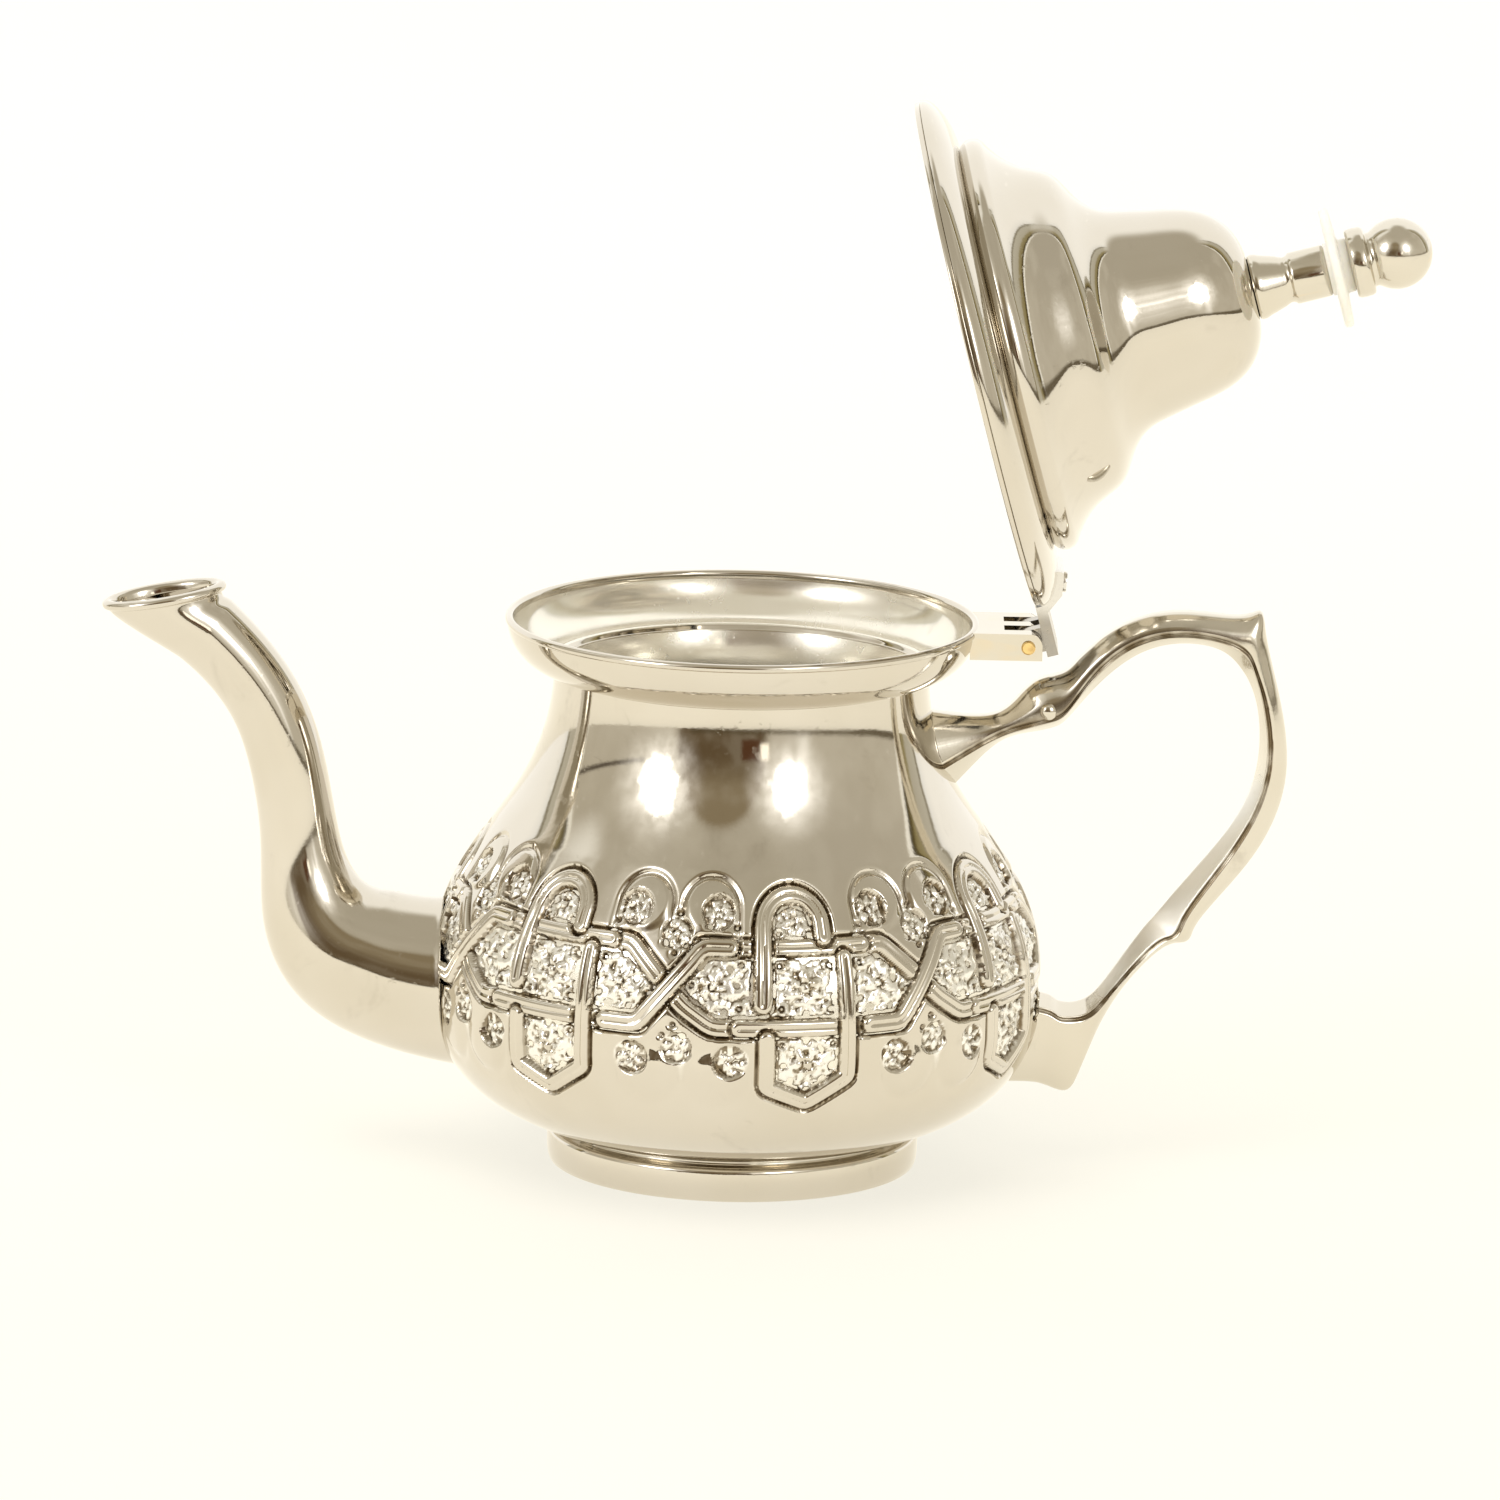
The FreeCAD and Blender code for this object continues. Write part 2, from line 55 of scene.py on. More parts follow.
FLARE_R = 29.45            # the inside of the neck, and where and how far it opens towards the mouth
FLARE_Z = 75.6
FLARE_OUT = 0.97
SKIN_TOP_Z = 73.8          # below here the inside follows the outside, down to SKIN_LOW_R at the foot
SKIN_LOW_R = 26
COLLAR_R = 8.1
MOUTH_Z = 91.05
BEAD_R = 0.7
SPOUT_LINE = [             # x and z of the middle, and the radius
    (-38, 28, 13.9), (-49.5, 29.4, 13.3), (-57.6, 31.2, 12.5), (-64.3, 34.6, 11.5), (-68.6, 39.8, 9.6),
    (-70.9, 46.5, 7.5), (-72.2, 54.5, 6.4), (-74, 64.5, 6.2), (-77.2, 74, 6.1), (-82, 81.3, 6.1),
    (-87.6, 87, 6.3)]
LIP_MIDDLE = (-94.6, 92.7)
LIP_TILT_DEG = 10.5
LIP_HALF_LENGTH = 10.27
LIP_HALF_WIDTH = 7.4
SPOUT_SINK = 0.35          # how deep the spout and the handle run into the body's skin
HANDLE_SINK = 0.45
# Handle sections from the neck round to the belly: x and z of the outer edge, x and z of the inner edge,
# half width at the side ridge, the ridge's place from the inner edge at 0 to the outer edge at 1, and how
# strongly the outline is faired there.
HANDLE = [
    (29.5, 76.2, 34.2, 62.6, 5.6, 0.35, 0), (36, 75.6, 38.6, 67.5, 4.2, 0.35, 0.3),
    (41, 75.5, 42, 71, 3.3, 0.36, 0.6), (44, 77.2, 45.3, 72.4, 3.6, 0.32, 0.3),
    (47.7, 81.4, 50, 73.3, 4.6, 0.27, 0.1), (53.2, 83.2, 53.4, 75, 4.6, 0.28, 0.1),
    (56.2, 86.8, 58.2, 81.2, 3.5, 0.40, 0.8), (61.3, 91.3, 63.6, 86, 3.6, 0.42, 1),
    (68.6, 94.1, 68.8, 88.2, 3.7, 0.40, 1), (76, 93.4, 75.2, 88.4, 3.7, 0.38, 1),
    (81.6, 92.7, 79.2, 86.8, 3.7, 0.36, 0.4), (84.8, 93.6, 81.9, 83.8, 3.6, 0.32, 0),
    (85.9, 87.6, 83.5, 81, 3.7, 0.36, 0.4), (88.4, 79.2, 84.9, 77, 3.8, 0.40, 1),
    (90.2, 69.5, 85.2, 71, 3.8, 0.40, 1), (89.2, 62.4, 84.4, 64.6, 3.8, 0.36, 1),
    (86.2, 54.4, 81.6, 58.9, 3.7, 0.36, 1), (80.6, 47.8, 77, 53, 3.6, 0.45, 0.8),
    (75.8, 41.9, 72, 46.9, 3.5, 0.55, 0.2), (74.2, 38.5, 68.6, 42.5, 3.7, 0.62, 0),
    (70.6, 37.6, 66.8, 40.4, 3.2, 0.66, 0.2), (66.2, 33.7, 63.1, 35.2, 3, 0.66, 0.8),
    (61.4, 27.2, 59.6, 29.6, 3.6, 0.50, 0.5), (57.6, 18.2, 56.4, 27.6, 4.6, 0.20, 0.2),
    (55, 13.1, 53.4, 27.6, 5.2, 0.13, 0), (49.5, 14.3, 51.4, 28.7, 5.4, 0.12, 0),
    (42, 14.3, 46, 30, 5.8, 0.12, 0)]
HANDLE_STEPS = 10          # rows of the mesh from one section to the next
SEAM_HALF_WIDTH = 0.5      # fine groove left along both side ridges by the casting
SEAM_DEPTH = 0.42
HANDLE_CROWN = 0.34        # half width left at the outer edge, as a share of the half width at the ridge
HANDLE_BLUNT = 0.35        # half width left at the two edges of the section
FOOT_BLUNT = 2.9           # and at the lower edge of the block it stands on the pot with
FOOT_BLUNT_FROM = 23
KNUCKLE_BEAD = (50.3, 3.35, 77)
PIN = (46.6, 88.65)
LID_X = -1
LID_Z = 92.3
LID_OPEN_DEG = 75
FLANGE_PROFILE = [(42.4, 0), (42, 1.2), (40.4, 2.6), (37.6, 3.8), (33, 4.4)]
STEP_PROFILE = [(33, 4.4), (34.3, 6.4), (33.2, 8.4)]
DOME_PROFILE = [
    (33.2, 8.4), (30.4, 10.4), (28.1, 13.2), (25.6, 17.8), (21.3, 20.7), (18.3, 23.9), (17.2, 27.6),
    (16.2, 32.4), (15, 37.6), (12.4, 42.2), (8.4, 44.8), (5.4, 45.5)]
DOME_TOP = DOME_PROFILE[-1][1]
INSULATOR_LOW = 58
KNOB_LOW = 61.85
BALL_MIDDLE = 69.5
BALL_R = 5.8
BALL_NECK_R = 4.45
SCREW_HOLE_R = 1.5
HOLE_DEPTH = 7.4           # of the screw's hole, in the knob

# ---- embossed band ----
REPEATS = 7
PERIOD_DEG = 360 / REPEATS
COLUMNS = 154              # mesh columns in one repeat
BAND_ROWS = 158
BAND_LOW_Z = 17.6
BAND_HIGH_Z = 58.2
PLAIN_LOW_Z = 26           # between these heights the plain metal lies at its full depth
PLAIN_HIGH_Z = 50
MM_PER_DEG = 0.864
PLAIN = -0.40              # plain metal inside the band, against the strap tops at 0
GROUND = -0.98             # punched ground
TRENCH = GROUND + 0.12     # beside the straps
EDGE_FALL = 0.34           # fall of a strap's rounded edges
MID_GROOVE = 0.27          # groove along a strap, which parts its two rails
SIDE_GROOVE = 0.38         # groove close beside a strap
PIT_DEPTH = 0.85
PIT_R = 0.52


# ---- curves ----
class Curve:
    """Cubic curve through points, with chord length as its parameter and not-a-knot ends."""

    def __init__(self, points):
        self.p = np.array(points, float)
        n = len(self.p)
        rise = np.diff(self.p, axis=0)
        steps = np.linalg.norm(rise, axis=1)
        rise = rise / steps[:, None]
        self.t = np.concatenate([[0], np.cumsum(steps)])
        a = np.zeros((n, n))
        b = np.zeros_like(self.p)
        for i in range(1, n - 1):
            before, after = steps[i - 1:i + 1]
            a[i, i - 1:i + 2] = before, 2 * (before + after), after
            b[i] = 6 * (rise[i] - rise[i - 1])
        a[0, :3] = [steps[1], -(steps[0] + steps[1]), steps[0]]
        a[-1, -3:] = [steps[-1], -(steps[-2] + steps[-1]), steps[-2]]
        self.m = np.linalg.solve(a, b)

    def at(self, t):
        t = np.atleast_1d(t)
        i = np.clip(np.searchsorted(self.t, t, side="right") - 1, 0, len(self.t) - 2)
        h = (self.t[i + 1] - self.t[i])[:, None]
        low = (t - self.t[i])[:, None]
        high = (self.t[i + 1] - t)[:, None]
        return (self.m[i] * high ** 3 + self.m[i + 1] * low ** 3) / (6 * h) + (
            self.p[i] / h - self.m[i] * h / 6) * high + (self.p[i + 1] / h - self.m[i + 1] * h / 6) * low

    def sample(self, count):
        return self.at(np.linspace(0, self.t[-1], count))

    def slope(self, t, step=1e-3):
        t = np.clip(t, step, self.t[-1] - step)
        return unit(self.at(t + step) - self.at(t - step))


def smooth(low, high, x):
    """Smooth step from 0 at low to 1 at high; low may be the larger."""
    t = np.clip((x - low) / (high - low), 0, 1)
    return t * t * (3 - 2 * t)


def arc_points(centre, radius, start_deg, end_deg, count):
    angle = np.radians(np.linspace(start_deg, end_deg, count))
    return np.stack([centre[0] + radius * np.cos(angle), centre[1] + radius * np.sin(angle)], 1)


def arc_through(a, b, c, count):
    """Circular arc from a through b to c."""
    a, b, c = (np.array(p, float) for p in (a, b, c))
    centre = np.linalg.solve(2 * np.array([b - a, c - a]), [b @ b - a @ a, c @ c - a @ a])
    angles = np.unwrap([math.atan2(*(p - centre)[::-1]) for p in (a, b, c)])
    return arc_points(centre, np.linalg.norm(a - centre), *np.degrees(angles[[0, 2]]), count)


def unit(v):
    return v / np.linalg.norm(v, axis=-1, keepdims=True)


def left_of(d):
    return np.stack([-d[:, 1], d[:, 0]], 1)


def offset(points, distance):
    """Outline moved to its left by distance, square to itself."""
    return points + left_of(unit(np.gradient(points, axis=0))) * distance


def rounded(corners, radius, steps):
    """Closed outline with each corner rounded; radius is one number or one for each corner."""
    corners = np.array(corners, float)
    n = len(corners)
    radii = np.broadcast_to(radius, n)
    out = []
    for i in range(n):
        before = corners[i - 1] - corners[i]
        after = corners[(i + 1) % n] - corners[i]
        reach = min(radii[i], 0.45 * np.linalg.norm(before), 0.45 * np.linalg.norm(after))
        a = corners[i] + unit(before) * reach
        b = corners[i] + unit(after) * reach
        for t in np.arange(steps + 1) / steps:
            out.append((1 - t) ** 2 * a + 2 * t * (1 - t) * corners[i] + t * t * b)
    return np.array(out)


def catmull(values, per_span):
    """Smooth rows through the given rows, per_span steps to each span."""
    values = np.array(values, float)
    v = np.concatenate([[2 * values[0] - values[1]], values, [2 * values[-1] - values[-2]]])
    t = np.arange(per_span)[:, None] / per_span
    spans = [
        0.5 * (2 * b + (c - a) * t + (2 * a - 5 * b + 4 * c - d) * t ** 2 + (3 * b - a - 3 * c + d) * t ** 3)
        for a, b, c, d in zip(v, v[1:], v[2:], v[3:])]
    return np.concatenate(spans + [v[-2:-1]])


# ---- meshes ----
def make_mesh(name, points, faces, sharp_deg=None):
    """Smooth object from points in millimetres; faces is a list of arrays of faces."""
    mesh = bpy.data.meshes.new(name)
    corners = [face for block in faces for face in block.tolist()]
    mesh.from_pydata(points * MM, [], corners, shade_flat=False)
    if sharp_deg:
        mesh.set_sharp_from_angle(angle=math.radians(sharp_deg))
    piece = bpy.data.objects.new(name, mesh)
    bpy.context.scene.collection.objects.link(piece)
    return piece


def grid_faces(rows, columns, wrap_rows=False):
    """Quads over a rows by columns grid of points; every row closes on itself."""
    i, j = np.meshgrid(np.arange(rows if wrap_rows else rows - 1), np.arange(columns), indexing="ij")
    i, j = i.ravel(), j.ravel()
    i2, j2 = (i + 1) % rows, (j + 1) % columns
    return np.stack([i * columns + j, i * columns + j2, i2 * columns + j2, i2 * columns + j], 1)


def round_z(r, z, theta):
    """Points at radius r and height z, with theta measured about Z from the front of the pot."""
    return np.stack(np.broadcast_arrays(r * np.sin(theta), -r * np.cos(theta), z), -1)


def revolve(name, outline, segments=256, sharp_deg=None, place=None):
    """Closed (r, z) outline turned about Z, with the solid on its left; r = 0 points become poles."""
    theta = np.linspace(0, 2 * math.pi, segments, endpoint=False)
    rings = [round_z(r, z, theta if r > 1e-6 else theta[:1]) for r, z in outline]
    starts = np.cumsum([0] + [len(ring) for ring in rings])
    rows = [start + np.arange(segments) % len(ring) for start, ring in zip(starts, rings)]
    quads = []
    triangles = []
    for a, b in zip(rows, rows[1:] + rows[:1]):
        a2, b2 = np.roll(a, -1), np.roll(b, -1)
        if a[0] == a[1] and b[0] == b[1]:
            continue
        if a[0] == a[1]:
            triangles.append(np.stack([a, b2, b], 1))
        elif b[0] == b[1]:
            triangles.append(np.stack([a, a2, b], 1))
        else:
            quads.append(np.stack([a, a2, b2, b], 1))
    points = np.concatenate(rings)
    return make_mesh(name, place(points) if place else points, quads + triangles, sharp_deg)


def tube_mesh(name, rings, closed=False, sharp_deg=None):
    """Rings of equal length joined in order, capped at both ends unless the tube closes on itself."""
    rows, columns, _ = rings.shape
    faces = [grid_faces(rows, columns, wrap_rows=closed)]
    if not closed:
        ring = np.arange(columns)
        faces += [ring[::-1][None], ((rows - 1) * columns + ring)[None]]
    return make_mesh(name, rings.reshape(-1, 3), faces, sharp_deg)


BODY_CURVE = Curve(BODY_PROFILE)
BODY_SAMPLES = BODY_CURVE.sample(1200)


def body_radius(z):
    return np.interp(z, BODY_SAMPLES[:, 1], BODY_SAMPLES[:, 0])


def trim_to_body(lines, depth, at_end=False):
    """Lengthwise lines (points along, lines, 3) cut where they enter the body's skin by this depth."""
    count = lines.shape[0]
    third = count // 3
    out = np.empty_like(lines)
    for k in range(lines.shape[1]):
        line = lines[::-1, k] if at_end else lines[:, k]
        gap = np.hypot(line[:, 0], line[:, 1]) - (body_radius(line[:, 2]) - depth)
        inside = np.nonzero(gap[: count // 2] < 0)[0]
        start = 0
        if len(inside):
            i = inside[-1]
            start = i + gap[i] / (gap[i] - gap[i + 1])
        # The first third of the line is squeezed towards the cut and the rest stays as it is.
        at = np.concatenate([np.linspace(start, third, third + 1), np.arange(third + 1, count)])
        line = np.stack([np.interp(at, np.arange(count), line[:, c]) for c in range(3)], 1)
        out[:, k] = line[::-1] if at_end else line
    return out


# ---- node helpers ----
class Nodes:
    """Adds nodes to a tree and links their inputs; colours are given as (r, g, b)."""

    def __init__(self, tree):
        self.tree = tree
        tree.nodes.clear()

    def set(self, node, key, value):
        if isinstance(value, bpy.types.NodeSocket):
            self.tree.links.new(value, node.inputs[key])
        else:
            node.inputs[key].default_value = value

    def add(self, kind, *values, **named):
        """New node with its inputs filled by place and by name."""
        node = self.tree.nodes.new("ShaderNode" + kind)
        for key, value in [*enumerate(values), *named.items()]:
            self.set(node, key, value)
        return node

    def math(self, operation, *values):
        node = self.add("Math", *values)
        node.operation = operation
        return node.outputs[0]

    def times(self, a, b):
        return self.math("MULTIPLY", a, b)

    def plus(self, a, b):
        return self.math("ADD", a, b)

    def minus(self, a, b):
        return self.math("SUBTRACT", a, b)

    def range(self, value, low, high, to_low=0, to_high=1, interpolation="SMOOTHSTEP"):
        node = self.add("MapRange", value, low, high, to_low, to_high)
        node.interpolation_type = interpolation
        return node.outputs[0]

    def mix(self, factor, a, b):
        node = self.add("Mix", factor)
        node.data_type = "RGBA"
        for i, value in ((6, a), (7, b)):
            self.set(node, i, (*value, 1) if isinstance(value, tuple) else value)
        return node.outputs[2]

    def noise(self, vector, scale, detail=2, roughness=0.5, distortion=0):
        return self.add("TexNoise", Vector=vector, Scale=scale, Detail=detail, Roughness=roughness,
                        Distortion=distortion).outputs[0]

    def ramp(self, value, stops):
        node = self.add("ValToRGB", value)
        elements = node.color_ramp.elements
        while len(elements) < len(stops):
            elements.new(1)
        for element, (position, colour) in zip(elements, stops):
            element.position = position
            element.color = (*colour, 1)
        return node.outputs[0]

    def stretched(self, vector, scale, turn=(0, 0, 0)):
        return self.add("Mapping", Vector=vector, Scale=scale, Rotation=turn).outputs[0]

    def stored(self, name):
        """Value that mark() has stored in the mesh."""
        node = self.add("Attribute")
        node.attribute_name = name
        return node.outputs["Fac"]

    def bump(self, shader, height, strength, distance):
        node = self.add("Bump", Strength=strength, Distance=distance, Height=height)
        self.set(shader, "Normal", node.outputs[0])


def new_material(name):
    material = bpy.data.materials.new(name)
    material.use_nodes = True
    nodes = Nodes(material.node_tree)
    shader = nodes.add("BsdfPrincipled")
    nodes.add("OutputMaterial", shader.outputs[0])
    return material, nodes, shader, nodes.add("TexCoord").outputs["Object"]


# ---- materials ----
NICKEL = (0.66, 0.62, 0.55)
NICKEL_DEEP = (0.15, 0.105, 0.05)
CAST_NICKEL = (0.69, 0.65, 0.57)
DULL_NICKEL = (0.42, 0.40, 0.37)
DULL_DEEP = (0.18, 0.155, 0.12)
FRESH_NICKEL = (0.74, 0.72, 0.68)
# near white laid on the matt parts: a painted highlight
MATT_HIGHLIGHT_WHITE = (0.96, 0.95, 0.91)
TIN = (0.90, 0.87, 0.79)
CLOUDING = (0.95, 0.94, 0.91)      # how much darker each colour channel is in the cloudy parts of the plate
BRASS_WORN = (0.80, 0.60, 0.30)
BRASS_BRIGHT = (0.86, 0.62, 0.27)
BRASS_DULL = (0.62, 0.42, 0.17)
WHITE_CLEAR = (0.93, 0.915, 0.87)
WHITE_CLOUDY = (0.88, 0.865, 0.80)
WHITE_STAINED = (0.74, 0.68, 0.55)
PAPER = (0.345, 0.33, 0.29)
PAPER_CLOUDY = (0.33, 0.315, 0.28)


def scratches(nodes, where, scale, turn, amount):
    """Thin hairlines in one direction, as high as amount on a line and 0 elsewhere."""
    lines = nodes.noise(nodes.stretched(where, (scale, scale * 0.04, scale), turn), 1, roughness=0.6)
    patches = nodes.range(nodes.noise(where, 55, detail=1), 0.45, 0.62)
    return nodes.times(nodes.times(nodes.range(lines, 0.66, 0.69), patches), amount)


def plated(name, colour=NICKEL, deep=NICKEL_DEEP, base_rough=0.06, grain=0.04, ripple=0.4, relief=False,
           worn=0, metal=1, fresh_above=None):
    """Nickel plate with soft ripple, fine pits and hairlines. With relief, where the mesh says so, it's
    darkened by tarnish and painted shade, and made matt and painted near white as a painted highlight; worn
    lets brass through at the edges, and fresh_above is a height in metres."""
    material, nodes, shader, where = new_material(name)
    cloud = nodes.noise(where, 28, detail=3, roughness=0.6)
    stain = nodes.range(nodes.noise(where, 70, detail=4, roughness=0.65, distortion=0.6), 0.58, 0.78)
    cloudy = tuple(c * f for c, f in zip(colour, CLOUDING))
    tint = nodes.mix(nodes.range(cloud, 0.3, 0.7), colour, cloudy)
    tint = nodes.mix(nodes.times(stain, 0.16), tint, deep)
    if relief:
        # Painted shade and tarnish darken what the mesh marks as hollow; where it marks matt, the colour is
        # painted near white, a painted highlight.
        blotch = nodes.range(nodes.noise(where, 260), 0.32, 0.62, 0.45, 1)
        shade_and_tarnish = nodes.times(nodes.range(nodes.stored("hollow"), 0.15, 0.65), blotch)
        matt_and_highlight = nodes.stored("matt_and_highlight")
        tint = nodes.mix(nodes.times(matt_and_highlight, 0.85), tint, MATT_HIGHLIGHT_WHITE)
        tint = nodes.mix(nodes.times(shade_and_tarnish, 0.92), tint, deep)
    if worn:
        edge = nodes.range(nodes.add("NewGeometry").outputs["Pointiness"], 0.53, 0.60)
        rub = nodes.range(nodes.noise(where, 190), 0.4, 0.7)
        tint = nodes.mix(nodes.times(nodes.times(edge, rub), worn), tint, BRASS_WORN)
    if fresh_above:
        rise = nodes.add("SeparateXYZ", Vector=where).outputs[2]
        tint = nodes.mix(nodes.range(rise, fresh_above - 0.0015, fresh_above + 0.002), tint, FRESH_NICKEL)
    nodes.set(shader, "Base Color", tint)
    nodes.set(shader, "Metallic", metal)

    hair = nodes.plus(scratches(nodes, where, 900, (0.3, 0.9, 0.2), 1),
                      scratches(nodes, where, 700, (1.2, 0.2, 1), 0.8))
    smear = nodes.noise(nodes.stretched(where, (40, 40, 16)), 1, detail=3, roughness=0.65)
    rough = nodes.range(smear, 0.35, 0.75, base_rough * 0.75, base_rough * 1.7)
    roughening = [(hair, 0.10), (stain, 0.07)]
    if relief:
        roughening += [(shade_and_tarnish, 0.16), (matt_and_highlight, 0.27)]
    for mask, amount in roughening:
        rough = nodes.plus(rough, nodes.times(mask, amount))
    nodes.set(shader, "Roughness", rough)

    pits = nodes.noise(where, 1100, detail=3, roughness=0.7)
    height = nodes.plus(nodes.times(nodes.noise(where, 95, detail=1), ripple), nodes.times(pits, grain))
    nodes.bump(shader, nodes.minus(height, nodes.times(hair, 0.02)), 1, 0.0001)
    return material


def brass_material():
    """Bare turned brass of the hinge pin, with lathe rings and a dull skin."""
    material, nodes, shader, where = new_material("turned_brass")
    nodes.set(shader, "Metallic", 1)
    dull = nodes.range(nodes.noise(where, 420, detail=3), 0.35, 0.7)
    nodes.set(shader, "Base Color", nodes.mix(dull, BRASS_BRIGHT, BRASS_DULL))
    nodes.set(shader, "Roughness", nodes.range(dull, 0, 1, 0.16, 0.36))
    rings = nodes.noise(nodes.stretched(where, (60, 9000, 60)), 1, detail=1)
    nodes.bump(shader, rings, 0.6, 0.00003)
    return material


def insulator_material():
    """Moulded off-white plastic, slightly cloudy, faintly marked by the mould."""
    material, nodes, shader, where = new_material("white_plastic")
    cloud = nodes.noise(where, 120, detail=3)
    stain = nodes.range(nodes.noise(where, 300, detail=3), 0.62, 0.8, 0, 0.35)
    tone = nodes.mix(nodes.range(cloud, 0.3, 0.7), WHITE_CLEAR, WHITE_CLOUDY)
    nodes.set(shader, "Base Color", nodes.mix(stain, tone, WHITE_STAINED))
    nodes.set(shader, "Roughness", nodes.range(cloud, 0.3, 0.7, 0.26, 0.40))
    nodes.set(shader, "Subsurface Weight", 0.35)
    nodes.set(shader, "Subsurface Radius", (0.0022, 0.0019, 0.0015))
    nodes.bump(shader, nodes.noise(where, 1500), 0.5, 0.00004)
    return material


DULL_LOOK = dict(colour=DULL_NICKEL, deep=DULL_DEEP, base_rough=0.27, grain=0.30, ripple=0.8, worn=0.15)
TINNED = plated("tinned_inside", TIN, base_rough=0.17, grain=0.10, ripple=0.8, metal=0.74)
PLATE = plated("nickel_plate", grain=0.035)
PLATE_BAND = plated("nickel_plate_embossed", relief=True)
PLATE_CAST = plated("nickel_plate_cast", CAST_NICKEL, base_rough=0.085, grain=0.09, ripple=0.9, relief=True,
                    worn=0.2)
PLATE_DULL = plated("nickel_plate_dull", **DULL_LOOK)
PLATE_LEAF = plated("nickel_plate_leaf", fresh_above=0.0935, **DULL_LOOK)
PIN_BRASS = brass_material()
PLASTIC = insulator_material()


def line_inside(piece, inside):
    """Puts the tinned finish on the faces that inside marks."""
    piece.data.materials.append(TINNED)
    piece.data.polygons.foreach_set("material_index", inside.astype(np.int32))


def mark(piece, name, values):
    """Stores one value for every vertex, for the materials to read."""
    attribute = piece.data.attributes.new(name, "FLOAT", "POINT")
    attribute.data.foreach_set("value", np.asarray(values, np.float32).ravel())


def finish_piece(piece, look, *nodes):
    """Dresses a piece in its material and body; nodes are the CAD nodes it stands in for, if any. The look's
    slot is not used.
    """
    material, body, slot = look
    piece.data.materials.append(material)
    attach(piece, body)
    if nodes:
        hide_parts(*nodes)


POT_SHEET = (PLATE, "pot", "plate_body")
LID_SHEET = (PLATE, "lid", "plate_body")
POT_CASTING = (PLATE_CAST, "pot", "plate_cast")
LID_CASTING = (PLATE_CAST, "lid", "plate_cast")


# ---- embossed pattern, in flat millimetres: u round the pot and s up the sheet ----
SHEET_T = np.linspace(0, BODY_CURVE.t[-1], 3000)
SHEET = BODY_CURVE.at(SHEET_T)
SHEET_S = np.concatenate([[0], np.cumsum(np.linalg.norm(np.diff(SHEET, axis=0), axis=1))])


def s_of(z):
    return np.interp(z, SHEET[:, 1], SHEET_S)


def flat(theta_deg, z):
    return np.array([theta_deg * MM_PER_DEG, float(s_of(z))])


def path_distance(u, s, path):
    best = np.full(u.shape, 1e3)
    for a, b in zip(path[:-1], path[1:]):
        d = b - a
        t = np.clip(((u - a[0]) * d[0] + (s - a[1]) * d[1]) / (d @ d), 0, 1)
        best = np.minimum(best, np.hypot(u - a[0] - t * d[0], s - a[1] - t * d[1]))
    return best


def polygon_depth(u, s, corners):
    """Distance inside a convex polygon given anticlockwise; negative outside."""
    depth = np.full(u.shape, 1e3)
    for a, b in zip(corners, corners[1:] + corners[:1]):
        d = unit(b - a)
        depth = np.minimum(depth, d[0] * (s - a[1]) - d[1] * (u - a[0]))
    return depth


def eased(points, reach=1.1):
    """Open path with its inner corners rounded."""
    out = [points[0]]
    for before, corner, after in zip(points[:-2], points[1:-1], points[2:]):
        a = corner + unit(before - corner) * reach
        b = corner + unit(after - corner) * reach
        out += [a, 0.25 * a + 0.5 * corner + 0.25 * b, b]
    return out + [points[-1]]


def flat_path(*corners):
    return [flat(*corner) for corner in corners]


def arch_path(theta_deg, z, radius, start_deg, end_deg, legs):
    """Part of a circle in the flat sheet with straight legs running on from it to the height legs."""
    path = list(arc_points(flat(theta_deg, z), radius, start_deg, end_deg, 22))
    foot = float(s_of(legs))
    return [np.array([path[0][0], foot])] + path + [np.array([path[-1][0], foot])]


# Places are given as (degrees round the pot, height). Each strap is a path and its half width.
STRAPS_UNDER = [
    (eased(flat_path((-26, 46.6), (-21.2, 46.6), (-13.4, 40.4), (-9.8, 37.1), (-4.2, 33.8), (2, 33.8))), 1.5),
    (flat_path((1, 33.8), (33, 33.8)), 1.5),
    (flat_path((-7, 46.6), (26, 46.6)), 1.5)]
STRAPS_OVER = [
    (eased(flat_path((-25, 33.8), (-18.6, 33.8), (-6.3, 46.6), (-1, 46.6))), 1.55),
    (flat_path((5.4, 37.6), (5.6, 49.6)) + arch_path(11.9, 50, 5.3, 172, 4, 48)[1:], 1.6),
    (eased(flat_path((21.8, 44.8), (21.8, 25.4), (14, 20.9), (6.2, 23.8), (6.2, 32)), 0.7), 1.45)]
# Middle and radius of each arch and lobe, and the middle of its punched hollow.
SIDE_ARCHES = [(-5.4, 52.3, 5.3, -3.6, 51.6), (31.6, 52.3, 5.3, 29.8, 51.6)]
LOBES = [(-3.2, 25.4, 5.2, -0.6, 28.2), (-16.4, 25.4, 5.2, -19.4, 28.2)]
# Where the rim's sweep ends in degrees, the height its legs run to, the width of the swelling's shoulder,
# the sag of its middle, the depth and width of the groove along the rim, and the hollow's radius.
ARCH_FORM = (0, 48, 1.7, 0.45, 0.46, 0.55, 3.2)
LOBE_FORM = (360, 31, 3.4, 0, 0.24, 0.95, 2.9)
CROSSING_HOLLOWS = [(-12.1, 48.4, 2.9), (-10.8, 30.2, 2.7)]
CELL = [(-12.5, 40.2), (-4.6, 33.8), (32.6, 33.8), (38.9, 40.2), (30.6, 46.6), (-6.4, 46.6)]
PENDANT = [(14, 20.9), (21.8, 25.4), (21.8, 33.8), (6.2, 33.8), (6.2, 23.8)]
ARCH_HOLLOW = [(7.2, 47.2), (16.7, 47.2), (16.7, 51.2), (14.6, 53.9), (9.3, 53.9), (7.2, 51.2)]
